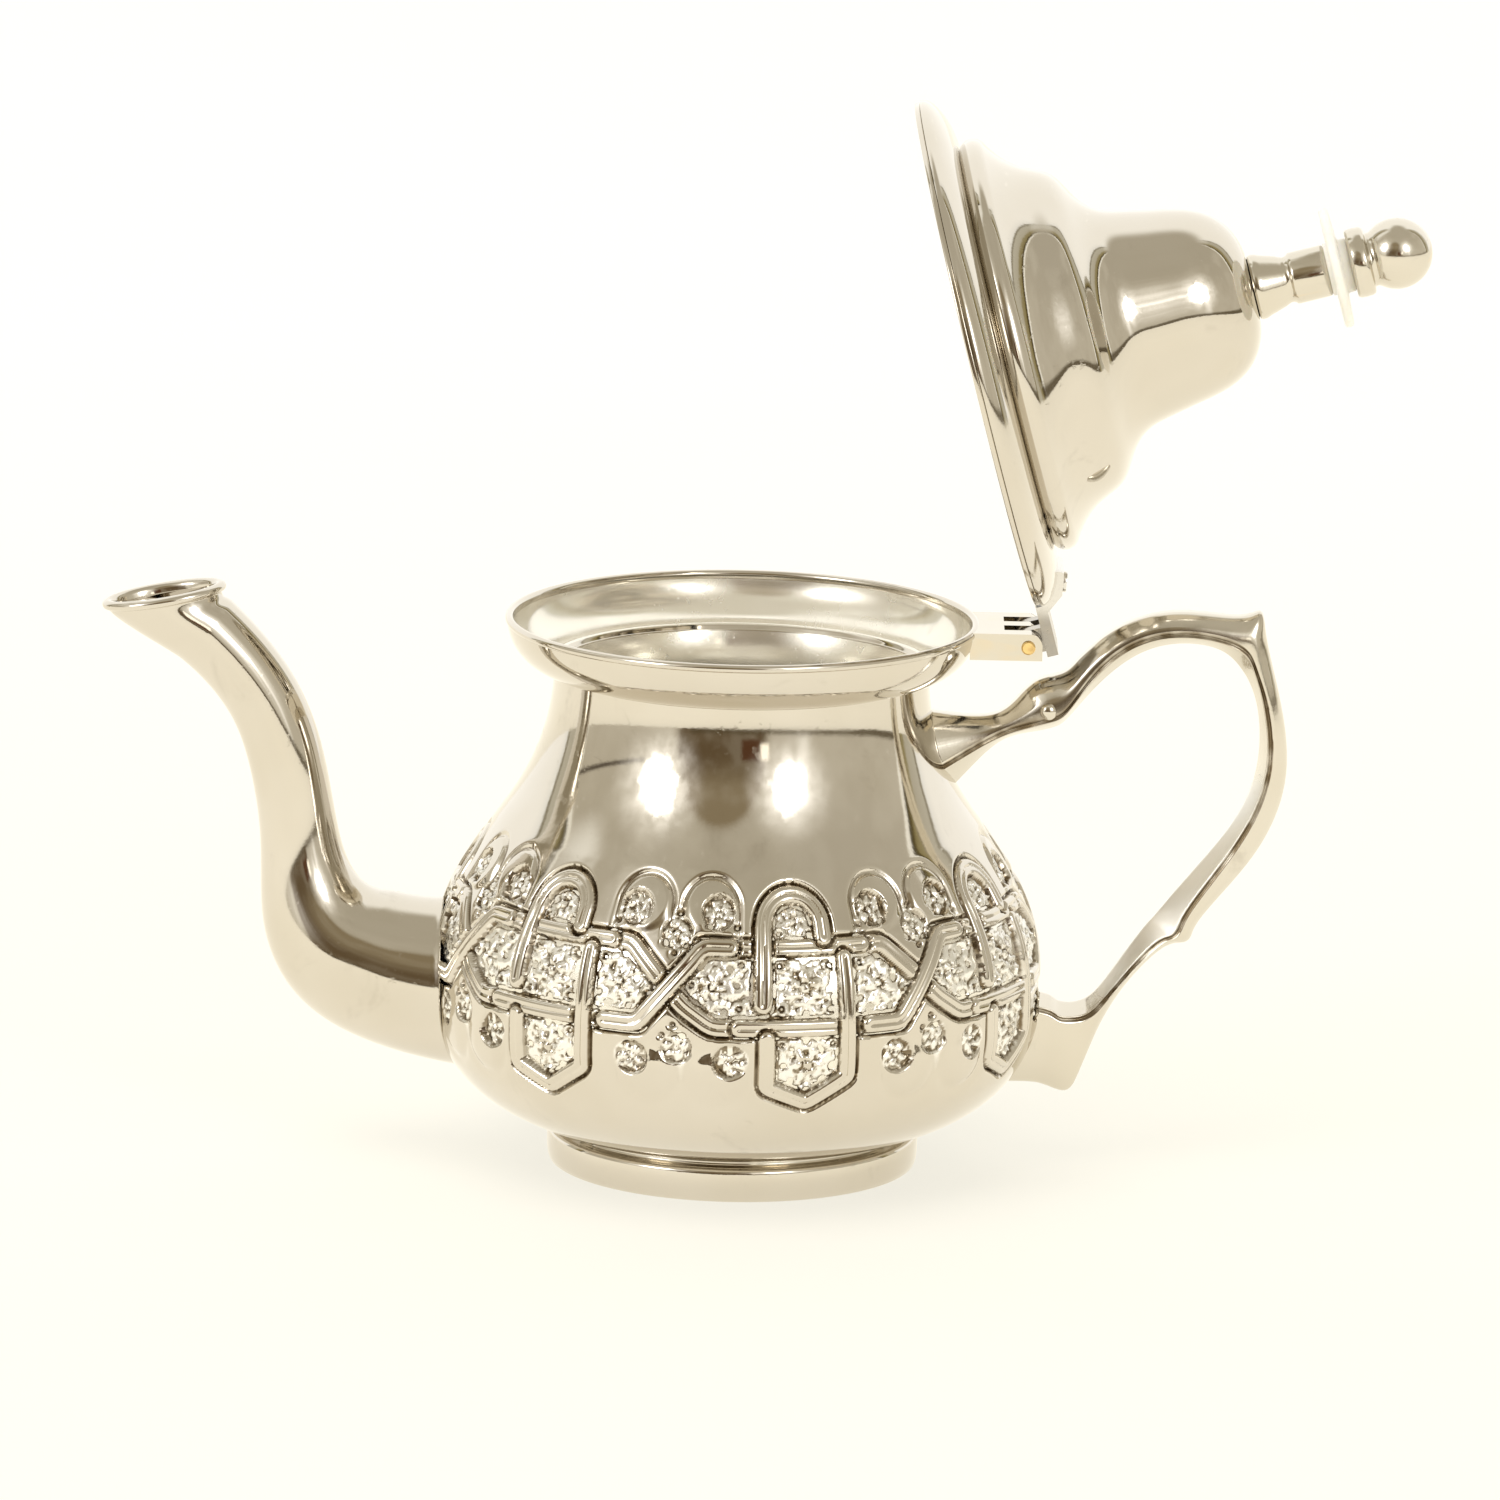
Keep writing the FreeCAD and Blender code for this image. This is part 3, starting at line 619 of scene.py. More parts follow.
FLOWERS = [                # angle, height, radius in mm, petals, turn
    (12, 50.6, 2.5, 6, 0.3), (-3.5, 51.6, 2.5, 5, 0.9), (29.7, 51.6, 2.5, 5, 0.2),
    (-12.2, 48.6, 2.4, 5, 0.6), (-4.3, 40.4, 2.3, 5, 0), (13.5, 40.3, 3.3, 6, 0.5),
    (28.7, 40.4, 2.6, 5, 0.7), (13.9, 27.7, 3.1, 6, 0.1), (-0.5, 28.6, 2.3, 5, 0.4),
    (-19.5, 28.3, 2.3, 5, 0.8), (-10.9, 30.2, 2.1, 5, 0.2)]
RINGS = [
    (1.2, 44.1), (0.8, 37), (-8.4, 40.6), (8.8, 43.8), (18.5, 43.8), (8.9, 36.9), (18.3, 36.8),
    (25, 43.9), (33.2, 43), (34.6, 38.9), (9, 31), (18.9, 31), (13.9, 23.3), (8.8, 48.7),
    (15.2, 48.7)]
PITS = [
    (-1, 43.4), (-6.7, 44.2), (0.4, 40.7), (-7.6, 37.7), (-1.9, 36.4), (13.5, 44.6), (9, 40.6),
    (18.4, 40.1), (13.6, 36.2), (24.7, 38.2), (26.5, 36.6), (30.9, 36.4), (29.2, 44.6), (32.2, 40.8),
    (9.3, 27.4), (18.7, 27), (11, 24.6), (17, 24.8), (13.8, 31.6), (12, 47.9), (9.8, 53),
    (14.2, 53), (-5.8, 49.6), (0.1, 49.6), (26.4, 49.6), (32, 49.8), (-14.4, 46.8), (-10, 46.6),
    (-12.2, 45.4), (-12.2, 51.4), (-13.6, 32.2), (-9.6, 32.3), (-11.6, 34)]
PIT_ROW = [(19.3, z) for z in np.arange(35.4, 44.6, 1.15)]


def wrapped(function, u):
    """Smallest value of function over the neighbouring repeats."""
    step = PERIOD_DEG * MM_PER_DEG
    return np.minimum.reduce([function(u + repeat * step) for repeat in (-1, 0, 1)])


def bell(x, width):
    return np.exp(-(x / width) ** 2)


def lay_strap(height, distance, half):
    """Presses a trench round a strap and lays the strap's two rounded rails in it."""
    cut = smooth(half + 0.55, half + 0.02, distance)
    height = height * (1 - cut) + np.minimum(height, TRENCH) * cut
    round_off = np.clip((distance - 0.35 * half) / (0.65 * half), 0, 1)
    top = -EDGE_FALL * round_off ** 2 - MID_GROOVE * bell(distance, 0.23)
    body = smooth(half + 0.06, half - 0.30, distance)
    return height * (1 - body) + top * body - SIDE_GROOVE * bell(distance - half - 0.28, 0.24)


def hollow(height, depth, floor):
    """Lowers the sheet to floor where depth, the distance inside an edge, is positive."""
    inside = smooth(-0.12, 0.38, depth)
    return height * (1 - inside) + np.minimum(height, floor) * inside


def relief_map(u, s, speckle):
    """Height of one repeat of the band in millimetres below the strap tops, and 1 in the pits fading to 0."""
    sheet_z = np.interp(s, SHEET_S, SHEET[:, 1])
    height = PLAIN * smooth(BAND_HIGH_Z, PLAIN_HIGH_Z, sheet_z) * smooth(BAND_LOW_Z, PLAIN_LOW_Z, sheet_z)
    ground = GROUND + speckle
    pitted = np.zeros_like(u)

    def away_from(theta, z):
        middle = flat(theta, z)
        return wrapped(lambda w: np.hypot(w - middle[0], s - middle[1]), u)

    def away_from_path(path):
        return wrapped(lambda w: path_distance(w, s, path), u)

    def outside(corners):
        return wrapped(lambda w: -polygon_depth(w, s, flat_path(*corners)), u)

    def outside_petals(theta, z, radius, petals, turn):
        middle = flat(theta, z)

        def edge(w):
            angle = np.arctan2(s - middle[1], w - middle[0])
            reach = radius * (0.66 + 0.34 * np.cos(petals * (angle - turn)))
            return np.hypot(w - middle[0], s - middle[1]) - reach

        return wrapped(edge, u)

    for places, form in ((SIDE_ARCHES, ARCH_FORM), (LOBES, LOBE_FORM)):
        sweep_end, legs, shoulder, sag, groove, groove_width, hollow_r = form
        for theta, z, radius, hollow_theta, hollow_z in places:
            inside = radius - away_from(theta, z)
            height = height + 0.40 * (smooth(0, shoulder, inside) - sag * smooth(1.7, radius, inside))
            rim = away_from_path(arch_path(theta, z, radius, 180, sweep_end, legs))
            height = height - groove * bell(rim, groove_width)
            height = hollow(height, hollow_r - away_from(hollow_theta, hollow_z), ground)
    for theta, z, radius in CROSSING_HOLLOWS:
        height = hollow(height, radius - away_from(theta, z), ground)
    for corners in (CELL, PENDANT, ARCH_HOLLOW):
        height = hollow(height, -outside(corners) - 0.2, ground)

    for theta, z, radius, petals, turn in FLOWERS:
        d = away_from(theta, z)
        raised = smooth(0.25, -0.45, outside_petals(theta, z, radius, petals, turn))
        height = height + raised * 0.36 * (1 - 0.35 * smooth(0, radius, d))
        height = height - 0.42 * bell(d - 0.28 * radius, 0.24) * raised
    for theta, z in RINGS:
        d = away_from(theta, z)
        height = height + 0.44 * bell(d - 0.85, 0.28) - 0.45 * bell(d, 0.42)
        pitted = np.maximum(pitted, smooth(0.75, 0.35, d))
    for theta, z in PITS + PIT_ROW:
        d = away_from(theta, z)
        height = height - PIT_DEPTH * bell(d, PIT_R)
        pitted = np.maximum(pitted, smooth(0.80, 0.40, d))

    for path, half in STRAPS_UNDER + STRAPS_OVER:
        distance = away_from_path(path)
        height = lay_strap(height, distance, half)
        pitted = pitted * smooth(half, half + 0.3, distance)
    return height, pitted


def blurred(field, times):
    for _ in range(times):
        field = (field + np.roll(field, 1, 1) + np.roll(field, -1, 1)) / 3
        padded = np.pad(field, ((1, 1), (0, 0)), mode="edge")
        field = (padded[:-2] + padded[1:-1] + padded[2:]) / 3
    return field


def body_inside():
    """Plain inner skin from the mouth down; its neck opens gently and its lower end meets the foot."""
    flare_z = np.linspace(NECK_Z, FLARE_Z, 12)
    flare_r = FLARE_R + FLARE_OUT * ((flare_z - FLARE_Z) / (NECK_Z - FLARE_Z)) ** 2
    skin = offset(BODY_CURVE.sample(40), WALL + 0.15)[::-1]
    skin = skin[skin[:, 1] < SKIN_TOP_Z]
    skin[-1] = (SKIN_LOW_R + 0.2, BODY_LOW_Z + WALL)
    closing = [(SKIN_LOW_R, BODY_LOW_Z + WALL - 0.1), (SKIN_LOW_R, BODY_LOW_Z + 0.05)]
    return np.concatenate([np.stack([flare_r, flare_z], 1), skin, closing])


def build_body():
    """Body sheet: plain below, embossed round the belly, plain to the neck, with a thin inner skin."""
    columns = REPEATS * COLUMNS
    levels = ((BODY_LOW_Z, BAND_LOW_Z, 16, False), (BAND_LOW_Z, BAND_HIGH_Z, BAND_ROWS, False),
              (BAND_HIGH_Z, NECK_Z, 34, True))
    rows = np.concatenate([
        np.linspace(*np.interp((low, high), SHEET[:, 1], SHEET_T), count, endpoint=last)
        for low, high, count, last in levels])
    in_band = slice(levels[0][2], levels[0][2] + BAND_ROWS)
    outline = BODY_CURVE.at(rows)
    outline[:, 0] = np.minimum(outline[:, 0], BODY_MAX_R)
    slope = BODY_CURVE.slope(rows)
    theta = np.arange(columns) / COLUMNS * PERIOD_DEG - PERIOD_DEG / 2

    u, s = np.meshgrid(theta[:COLUMNS] * MM_PER_DEG, s_of(outline[in_band, 1]))
    rng = np.random.default_rng(SEED)
    fine = np.clip(blurred(rng.normal(0, 0.26, u.shape), 1), -0.13, 0.13)
    coarse = blurred(rng.normal(0, 1, u.shape), 3)
    band, pitted = relief_map(u, s, fine + 0.11 * np.clip(coarse / coarse.std(), -1.6, 1.6))
    band = np.tile(band, (1, REPEATS))
    # Hand-worked differences between the repeats: a slow swell and a little unevenness.
    swell = blurred(rng.normal(0, 1, band.shape), 24)
    band = band + 0.05 * swell / np.abs(swell).max()
    z = outline[in_band, 1:2]
    fade = smooth(BAND_LOW_Z, BAND_LOW_Z + 2.2, z) * smooth(BAND_HIGH_Z, BAND_HIGH_Z - 1.6, z)
    offsets = np.zeros((len(rows), columns))
    offsets[in_band] = np.minimum(band, 0) * fade

    # Tarnish and painted shade darken the narrow hollows and the pits, and the rest of the low ground is matt
    # and painted near white, a painted highlight.
    pooled_shade_and_tarnish = np.clip(np.clip(blurred(offsets, 5) - offsets, 0, 1) / 0.24, 0, 1)
    pooled_shade_and_tarnish = pooled_shade_and_tarnish * smooth(-0.35, -0.7, offsets)
    pooled_shade_and_tarnish[in_band] = np.maximum(pooled_shade_and_tarnish[in_band], 0.75 * np.tile(pitted, (1, REPEATS)))
    ground_matt_and_highlight = smooth(-0.66, -0.80, blurred(offsets, 3)) * smooth(0.35, 0.1, pooled_shade_and_tarnish)

    inner = body_inside()
    radians = np.radians(theta)
    outer_r = outline[:, 0:1] + offsets * slope[:, 1:2]
    outer_z = outline[:, 1:2] - offsets * slope[:, 0:1]
    rings = [round_z(outer_r, outer_z, radians), round_z(inner[:, 0:1], inner[:, 1:2], radians)]
    body = tube_mesh("teapot_body", np.concatenate(rings), closed=True, sharp_deg=50)
    for name, values in (("hollow", pooled_shade_and_tarnish), ("matt_and_highlight", ground_matt_and_highlight)):
        mark(body, name, np.concatenate([values, np.zeros((len(inner), columns))]))
    finish_piece(body, (PLATE_BAND, "pot", "plate_body"), "body_shell")
    line_inside(body, np.arange(len(body.data.polygons)) >= (len(rows) - 1) * columns)


# ---- turned pieces of the pot ----
def build_foot():
    barrel = [(30.15, 0.16), (30.4, 0.9), (30.52, 2.2), (30.54, 3.6), (30.5, 4.8), (30.4, 5.2)]
    outline = [(28.95, 0.2), (29.15, 0), (29.95, 0)] + barrel + [
        (30.15, 5.38), (29.7, 5.44), (29.2, 5.52), (28.6, 5.65), (28.4, 5.8), (28.4, BODY_LOW_Z),
        (25, BODY_LOW_Z), (25, 5.3), (28.6, 4.6), (28.9, 4.2)]
    foot = revolve("foot_ring_turned", outline, sharp_deg=55)
    finish_piece(foot, POT_SHEET, "foot_ring")


def build_collar():
    """Quarter-round bowl under the mouth, with a crease at the neck and a rolled bead on the edge."""
    centre = (NECK_R - 0.3, NECK_Z + COLLAR_R)
    bead = (centre[0] + COLLAR_R - WALL / 2 + 0.15, MOUTH_Z - BEAD_R)
    outer = arc_points(centre, COLLAR_R, -88.5, -3, 40)
    roll = arc_points(bead, BEAD_R, -62, 196, 20)
    inner = arc_points(centre, COLLAR_R - WALL, -6, -81, 36)
    throat = [(31.22, 83.38), (31.05, 83.2), (30.87, 82.9), (30.68, 82.55), (30.52, NECK_Z)]
    collar = revolve("mouth_collar_spun", np.concatenate([outer, roll, inner, throat]), 320, sharp_deg=60)
    finish_piece(collar, POT_SHEET, "mouth_collar")

    middles = np.empty(len(collar.data.polygons) * 3, np.float32)
    collar.data.polygons.foreach_get("center", middles)
    x, y, z = middles.reshape(-1, 3).T / MM
    in_bowl = np.hypot(np.hypot(x, y) - centre[0], z - centre[1]) < COLLAR_R - 0.8
    line_inside(collar, in_bowl & (z < bead[1] - 0.6))


def build_solder_ring():
    """Thin bead of solder in the crease between neck and collar."""
    outline = arc_points((NECK_R + 0.04, NECK_Z + 0.02), 0.27, 0, 340, 12)
    finish_piece(revolve("solder_bead", outline), POT_SHEET)


# ---- spout ----
def ellipse(middle, out, half_out, half_width, angle):
    """Ring of points about middle = (x, z), with one half axis along out and the other along Y."""
    x = middle[0] + out[0] * half_out * np.cos(angle)
    z = middle[1] + out[1] * half_out * np.cos(angle)
    return np.stack([x, half_width * np.sin(angle), z], 1)


def build_spout():
    """Bent tube whose throat widens into an oval lip with a rolled edge; the bore runs right through."""
    angle = np.linspace(0, 2 * math.pi, 72, endpoint=False)
    line = np.array(SPOUT_LINE)
    path = Curve(line[:, :2])
    radius = Curve(np.stack([path.t, line[:, 2]], 1)).sample(400)
    t = np.linspace(0, path.t[-1], 150)
    middle = path.at(t)
    slope = path.slope(t)
    out = left_of(slope)
    r = np.interp(t, radius[:, 0], radius[:, 1])
    tilt = math.radians(LIP_TILT_DEG)
    lip_out = np.array([-math.cos(tilt), -math.sin(tilt)])
    lip_up = np.array([-math.sin(tilt), math.cos(tilt)])

    def lip_ring(height, inset):
        """Ring at a height over the middle of the lip and at an inset from its edge."""
        return ellipse(np.array(LIP_MIDDLE) + lip_up * height, lip_out, LIP_HALF_LENGTH - inset,
                       LIP_HALF_WIDTH - inset, angle)

    def tube(inset):
        rings = [ellipse(m, o, q - inset, q - inset, angle) for m, o, q in zip(middle, out, r)]
        # The throat widens smoothly from the last round section to the oval lip.
        last = rings[-1]
        end = np.array(LIP_MIDDLE) + lip_up * -0.75
        reach = np.linalg.norm(end - middle[-1]) * 0.55
        start_pull, end_pull = (np.array([d[0], 0, d[1]]) * reach for d in (slope[-1], lip_up))
        for w in np.arange(1, 19) / 18:
            rings.append((2 * w ** 3 - 3 * w ** 2 + 1) * last + (w ** 3 - 2 * w ** 2 + w) * start_pull
                         + (3 * w ** 2 - 2 * w ** 3) * lip_ring(-0.75, 0.95 + inset)
                         + (w ** 3 - w ** 2) * end_pull)
        return np.array(rings)

    roll = [(-0.72, 0.55), (-0.55, 0.22), (-0.25, 0.04), (0.05, 0), (0.35, 0.10), (0.6, 0.34), (0.76, 0.7),
            (0.78, 1.1), (0.66, 1.5), (0.35, 1.82), (-0.1, 1.95), (-0.6, 2.02)]
    lip = np.array([lip_ring(height, inset) for height, inset in roll])
    outer = trim_to_body(tube(0), SPOUT_SINK)
    # A low fillet of solder where the tube meets the body.
    reach = np.linalg.norm(outer - outer[0:1], axis=2, keepdims=True)
    away = outer - outer.mean(1, keepdims=True)
    outer = outer + unit(away) * 0.20 * bell(reach, 0.75)
    inner = trim_to_body(tube(WALL), SPOUT_SINK)[::-1]
    spout = tube_mesh("spout_bent", np.concatenate([outer, lip, inner]), closed=True)
    finish_piece(spout, POT_SHEET, "spout")


# ---- handle ----
def handle_sections():
    """Faired rows along the handle: outer x and z, inner x and z, half width, ridge and blunt half width."""
    rows = []
    for i, (*edges_and_widths, soft) in enumerate(HANDLE):
        rows.append([*edges_and_widths, FOOT_BLUNT if i >= FOOT_BLUNT_FROM else HANDLE_BLUNT, soft])
    rows = catmull(rows, HANDLE_STEPS)
    soft = np.clip(rows[1:-1, 7:], 0, 1)
    for _ in range(90):
        rows[1:-1] += soft * 0.25 * (rows[:-2] - 2 * rows[1:-1] + rows[2:])
    return rows[:, :7]


def build_handle():
    """Cast loop with a crowned outer face, a seam along each side and a blunt block at its foot."""
    rings = []
    shaded_and_tarnished = []
    grip_matt_and_highlight = []
    for station, (ox, oz, ix, iz, half, ridge, blunt) in enumerate(handle_sections()):
        span = np.array([ox - ix, oz - iz])
        length = np.linalg.norm(span)
        seam = min(SEAM_HALF_WIDTH, 0.12 * length)
        middle = ridge * length
        past = length - middle
        blunt = max(blunt, HANDLE_CROWN * half)
        side = [(0, -HANDLE_BLUNT), (middle - seam, -half), (middle, SEAM_DEPTH - half),
                (middle + seam, -half), (middle + 0.40 * past, -0.94 * half),
                (middle + 0.78 * past, -0.5 * (0.94 * half + blunt)), (length, -blunt)]
        radii = (0.4, 0.35, 0.12, 0.35, 1.4, 1.4, 1.1)
        section = rounded(side + [(q, -y) for q, y in side[::-1]], radii + radii[::-1], 4)
        across = section[:, 0]
        # Tarnish and painted shade lie along the seams' grooves and, on the arm over the fingers, darken the
        # face, fading out towards the outer edge.
        arm = smooth(-4, 14, station) * smooth(115, 95, station) * (across > middle)
        in_seam = np.abs(across - middle) < 0.8 * seam
        shaded_and_tarnished.append(np.maximum(in_seam * 0.8, arm * 0.55 * smooth(length, middle, across)))
        # Fingers keep the inside of the grip matt; there, and a little on the arm, the colour is painted near
        # white, a painted highlight.
        grip = smooth(130, 160, station) * smooth(235, 215, station) * (across < middle - 0.5 * seam)
        grip_matt_and_highlight.append(np.maximum(grip, 0.15 * arm))
        spot = np.array([ix, iz]) + span * (section[:, 0:1] / length)
        rings.append(np.stack([spot[:, 0], section[:, 1], spot[:, 1]], 1))
    lines = trim_to_body(np.array(rings), HANDLE_SINK)
    handle = tube_mesh("handle_cast", trim_to_body(lines, HANDLE_SINK, at_end=True))
    mark(handle, "hollow", shaded_and_tarnished)
    mark(handle, "matt_and_highlight", grip_matt_and_highlight)
    finish_piece(handle, POT_CASTING, "handle")


def build_handle_beads():
    """Small round bead cast on each side of the knuckle."""
    outline = [
        (0, -0.6), (1.5, -0.6), (1.72, -0.1), (1.7, 0.5), (1.45, 1.05), (1, 1.42), (0.5, 1.6), (0, 1.66)]
    bead_x, bead_y, bead_z = KNUCKLE_BEAD
    for side, turn in (("near", -1), ("far", 1)):

        def place(points):
            x, y, z = points.T
            return np.stack([bead_x + x, turn * (bead_y + z), bead_z + turn * y], 1)

        bead = revolve("handle_bead_" + side, outline, 48, place=place)
        finish_piece(bead, POT_CASTING)


# ---- lid ----
def lid_place(points):
    """From the lid's own axis to the open lid on the pot."""
    turn = math.radians(LID_OPEN_DEG)
    x = points[:, 0] + LID_X - PIN[0]
    z = points[:, 2] + LID_Z - PIN[1]
    return np.stack([PIN[0] + math.cos(turn) * x + math.sin(turn) * z, points[:, 1],
                     PIN[1] - math.sin(turn) * x + math.cos(turn) * z], 1)


def build_lid():
    """Spun sheet: flange, rounded step and dome, with its own thickness inside."""
    flange = Curve(FLANGE_PROFILE).sample(26)
    step = arc_through(*STEP_PROFILE, 16)
    dome = Curve(DOME_PROFILE).sample(120)
    edge = [(41.3, 0.02), (41.9, 0), (42.28, 0.06)]
    top = [(5, DOME_TOP), (SCREW_HOLE_R, DOME_TOP), (SCREW_HOLE_R, DOME_TOP - WALL), (4.6, DOME_TOP - WALL)]
    notch = [(32.4, 7.9), (33.1, 6.5), (31.9, 5.2)]
    dome_inside = offset(dome, WALL)[::-1]
    flange_inside = offset(flange, WALL)[::-1]
    flange_inside = flange_inside[(flange_inside[:, 1] > 0.3) & (flange_inside[:, 0] > 32.6)]
    outline = np.concatenate([
        edge, flange[1:], step[1:-1], dome[:-1], top, dome_inside[1:-1], notch, flange_inside])
    lid = revolve("lid_spun", outline, 320, sharp_deg=58, place=lid_place)
    finish_piece(lid, LID_SHEET, "lid_shell")


def build_seat_ring():
    outline = rounded([(36.4, -0.9), (42, -0.9), (42, 0), (36.4, 0)], 0.25, 3)
    ring = revolve("lid_seat_turned", outline, 320, place=lid_place)
    finish_piece(ring, LID_SHEET, "lid_seat_ring")


def finial_outline(low, high, rise, fall=()):
    """Round the screw's hole, with heights over the low end in rise and under the high end in fall."""
    return [(SCREW_HOLE_R, low)] + [(r, low + z) for r, z in rise] + [(r, high - z) for r, z in fall] + [
        (SCREW_HOLE_R, high)]


def build_finial():
    post = [
        (4.7, 0), (5.2, 0.15), (5.38, 0.6), (5.33, 1.25), (5.05, 1.9), (4.2, 4.6), (3.92, 5.2), (3.78, 5.6),
        (3.8, 6.05), (3.98, 6.4), (4.2, 6.62), (4.26, 7)]
    disc = [
        (4.1, 0), (4.3, 0.12), (4.4, 0.75), (4.7, 0.92), (9.3, 0.62), (9.75, 0.8), (9.9, 1.35), (9.8, 1.95),
        (9.4, 2.2), (4.8, 2.42), (4.45, 2.62)]
    cap = [
        (5.2, 0), (5.5, 0.12), (5.68, 0.45), (5.74, 1.4), (5.68, 2.4), (5.5, 2.85), (5.15, 3.05), (4.6, 3.12),
        (4.42, 3.3), (4.4, 3.7)]
    neck_deg = 2 - math.degrees(math.acos(BALL_NECK_R / BALL_R))
    ball = arc_points((0, BALL_MIDDLE - KNOB_LOW), BALL_R, neck_deg, 89, 36).tolist()
    top = [(0, BALL_MIDDLE + BALL_R - KNOB_LOW), (0, HOLE_DEPTH)]
    post = finial_outline(DOME_TOP, INSULATOR_LOW, post, [(4.25, 0.55), (4.15, 0.22), (3.9, 0)])
    disc = finial_outline(INSULATOR_LOW, KNOB_LOW, disc, [(4.35, 0.15), (4.15, 0)])
    knob = finial_outline(KNOB_LOW, KNOB_LOW + HOLE_DEPTH, cap + ball + top)
    for name, outline, sharp_deg, look, node in (
            ("finial_post_turned", post, 50, LID_CASTING, "finial_post"),
            ("finial_insulator_moulded", disc, 60, (PLASTIC, "lid", "insulator"), "finial_insulator"),
            ("finial_knob_turned", knob, 50, LID_CASTING, "finial_knob")):
        finish_piece(revolve(name, outline, 128, sharp_deg, lid_place), look, node)


# ---- carried-over nodes ----
def dress(node, material, width=0):
    """CAD node kept as it is in the given material and, where width is given, with its edges broken."""
    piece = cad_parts[node]
    piece.data.materials.clear()
    piece.data.materials.append(material)
    if width:
        weld = piece.modifiers.new("weld", "WELD")
        weld.merge_threshold = 1e-6
        bevel = piece.modifiers.new("broken_edges", "BEVEL")
        bevel.width = width * MM
        bevel.segments = 2
        bevel.limit_method = "ANGLE"
        bevel.angle_limit = math.radians(38)


# ---- floor, room and lamps ----
FLOOR_HALF = 6000


def build_floor():
    """Pale seamless paper, close to overexposed."""
    corners = np.array([(-1, -1, 0), (1, -1, 0), (1, 1, 0), (-1, 1, 0)])
    floor = make_mesh("floor", corners * FLOOR_HALF, [np.array([[0, 1, 2, 3]])])
    material, nodes, shader, where = new_material("pale_paper")
    cloud = nodes.range(nodes.noise(where, 3), 0.3, 0.7)
    nodes.set(shader, "Base Color", nodes.mix(cloud, PAPER, PAPER_CLOUDY))
    nodes.set(shader, "Roughness", 0.9)
    nodes.set(shader, "Specular IOR Level", 0.1)
    seen = nodes.add("LightPath").outputs["Is Camera Ray"]
    away = nodes.add("SeparateXYZ", Vector=where).outputs[1]
    # Seen in the metal, the floor glows a little darker and warmer at and in front of the pot than up to 0.9
    # m behind it: painted shadow of the pot.
    near_and_far = nodes.mix(nodes.range(away, 0, 0.9), (0.66, 0.655, 0.605), (0.68, 0.68, 0.69))
    nodes.set(shader, "Emission Color", nodes.mix(seen, (0.84, 0.805, 0.71), near_and_far))
    nodes.set(shader, "Emission Strength", 1)
    floor.data.materials.append(material)


# The room is laid out in degrees: azimuth is 0 towards the camera and positive towards +X.
LAMPS = [                  # azimuth, elevation, half sizes of the lamp and half sizes of its halo
    (-49, 24, 17.5, 19.5, 32, 30), (30, 25, 16, 18, 30, 27)]
LAMP_WHITE = (4.5, 4.5, 4.5)
HALO_WHITE = (1.9, 1.87, 1.82)
BACKDROP = (1, 0.995, 0.985)
TAUPE = (0.54, 0.495, 0.40)
TAUPE_HIGH = (0.47, 0.43, 0.345)
TAUPE_CLOUD = (0.68, 0.64, 0.54)
HIGH_WALL = (1, 0.98, 0.92)
PAPER_WALL = (1.08, 1.06, 1)
CLOTHES_LOW = (0.115, 0.075, 0.035)
CLOTHES_HIGH = (0.26, 0.205, 0.125)
# Where the room ends and the white paper begins: a pale batten, a dark gap and the wall behind it.
BATTEN = [
    (103, TAUPE), (103.8, (1, 0.97, 0.88)), (105.4, (1, 0.97, 0.88)), (106.2, (0.06, 0.045, 0.02)),
    (108, (0.12, 0.09, 0.03)), (109, (0.30, 0.25, 0.12)), (112, (0.33, 0.28, 0.15)),
    (114, (0.50, 0.465, 0.37)), (120, (0.55, 0.52, 0.43)), (121.5, (0.20, 0.17, 0.10)),
    (123, (0.95, 0.94, 0.90)), (128, (1.05, 1.03, 0.98))]
# Low and high azimuth, low and high elevation, softness, wavy edge, amount and colour.
FURNITURE = [
    (-106, -58, 12.5, 14, 0.7, False, 1, (0.10, 0.08, 0.06)),         # shelf
    (1, 12, 4, 14, 1, False, 1, (0.10, 0.045, 0.02)),                 # door
    (12, 17, 6, 13.5, 0.8, False, 1, (1.5, 1.4, 1.2)),                # bright opening beside it
    (-30, 110, -6, 1.6, 0.9, True, 0.9, (0.10, 0.075, 0.04)),         # things along the floor
    (35, 42, 2, 33, 3, True, 0.6, (1.15, 1.12, 1.05))]                # pale panel


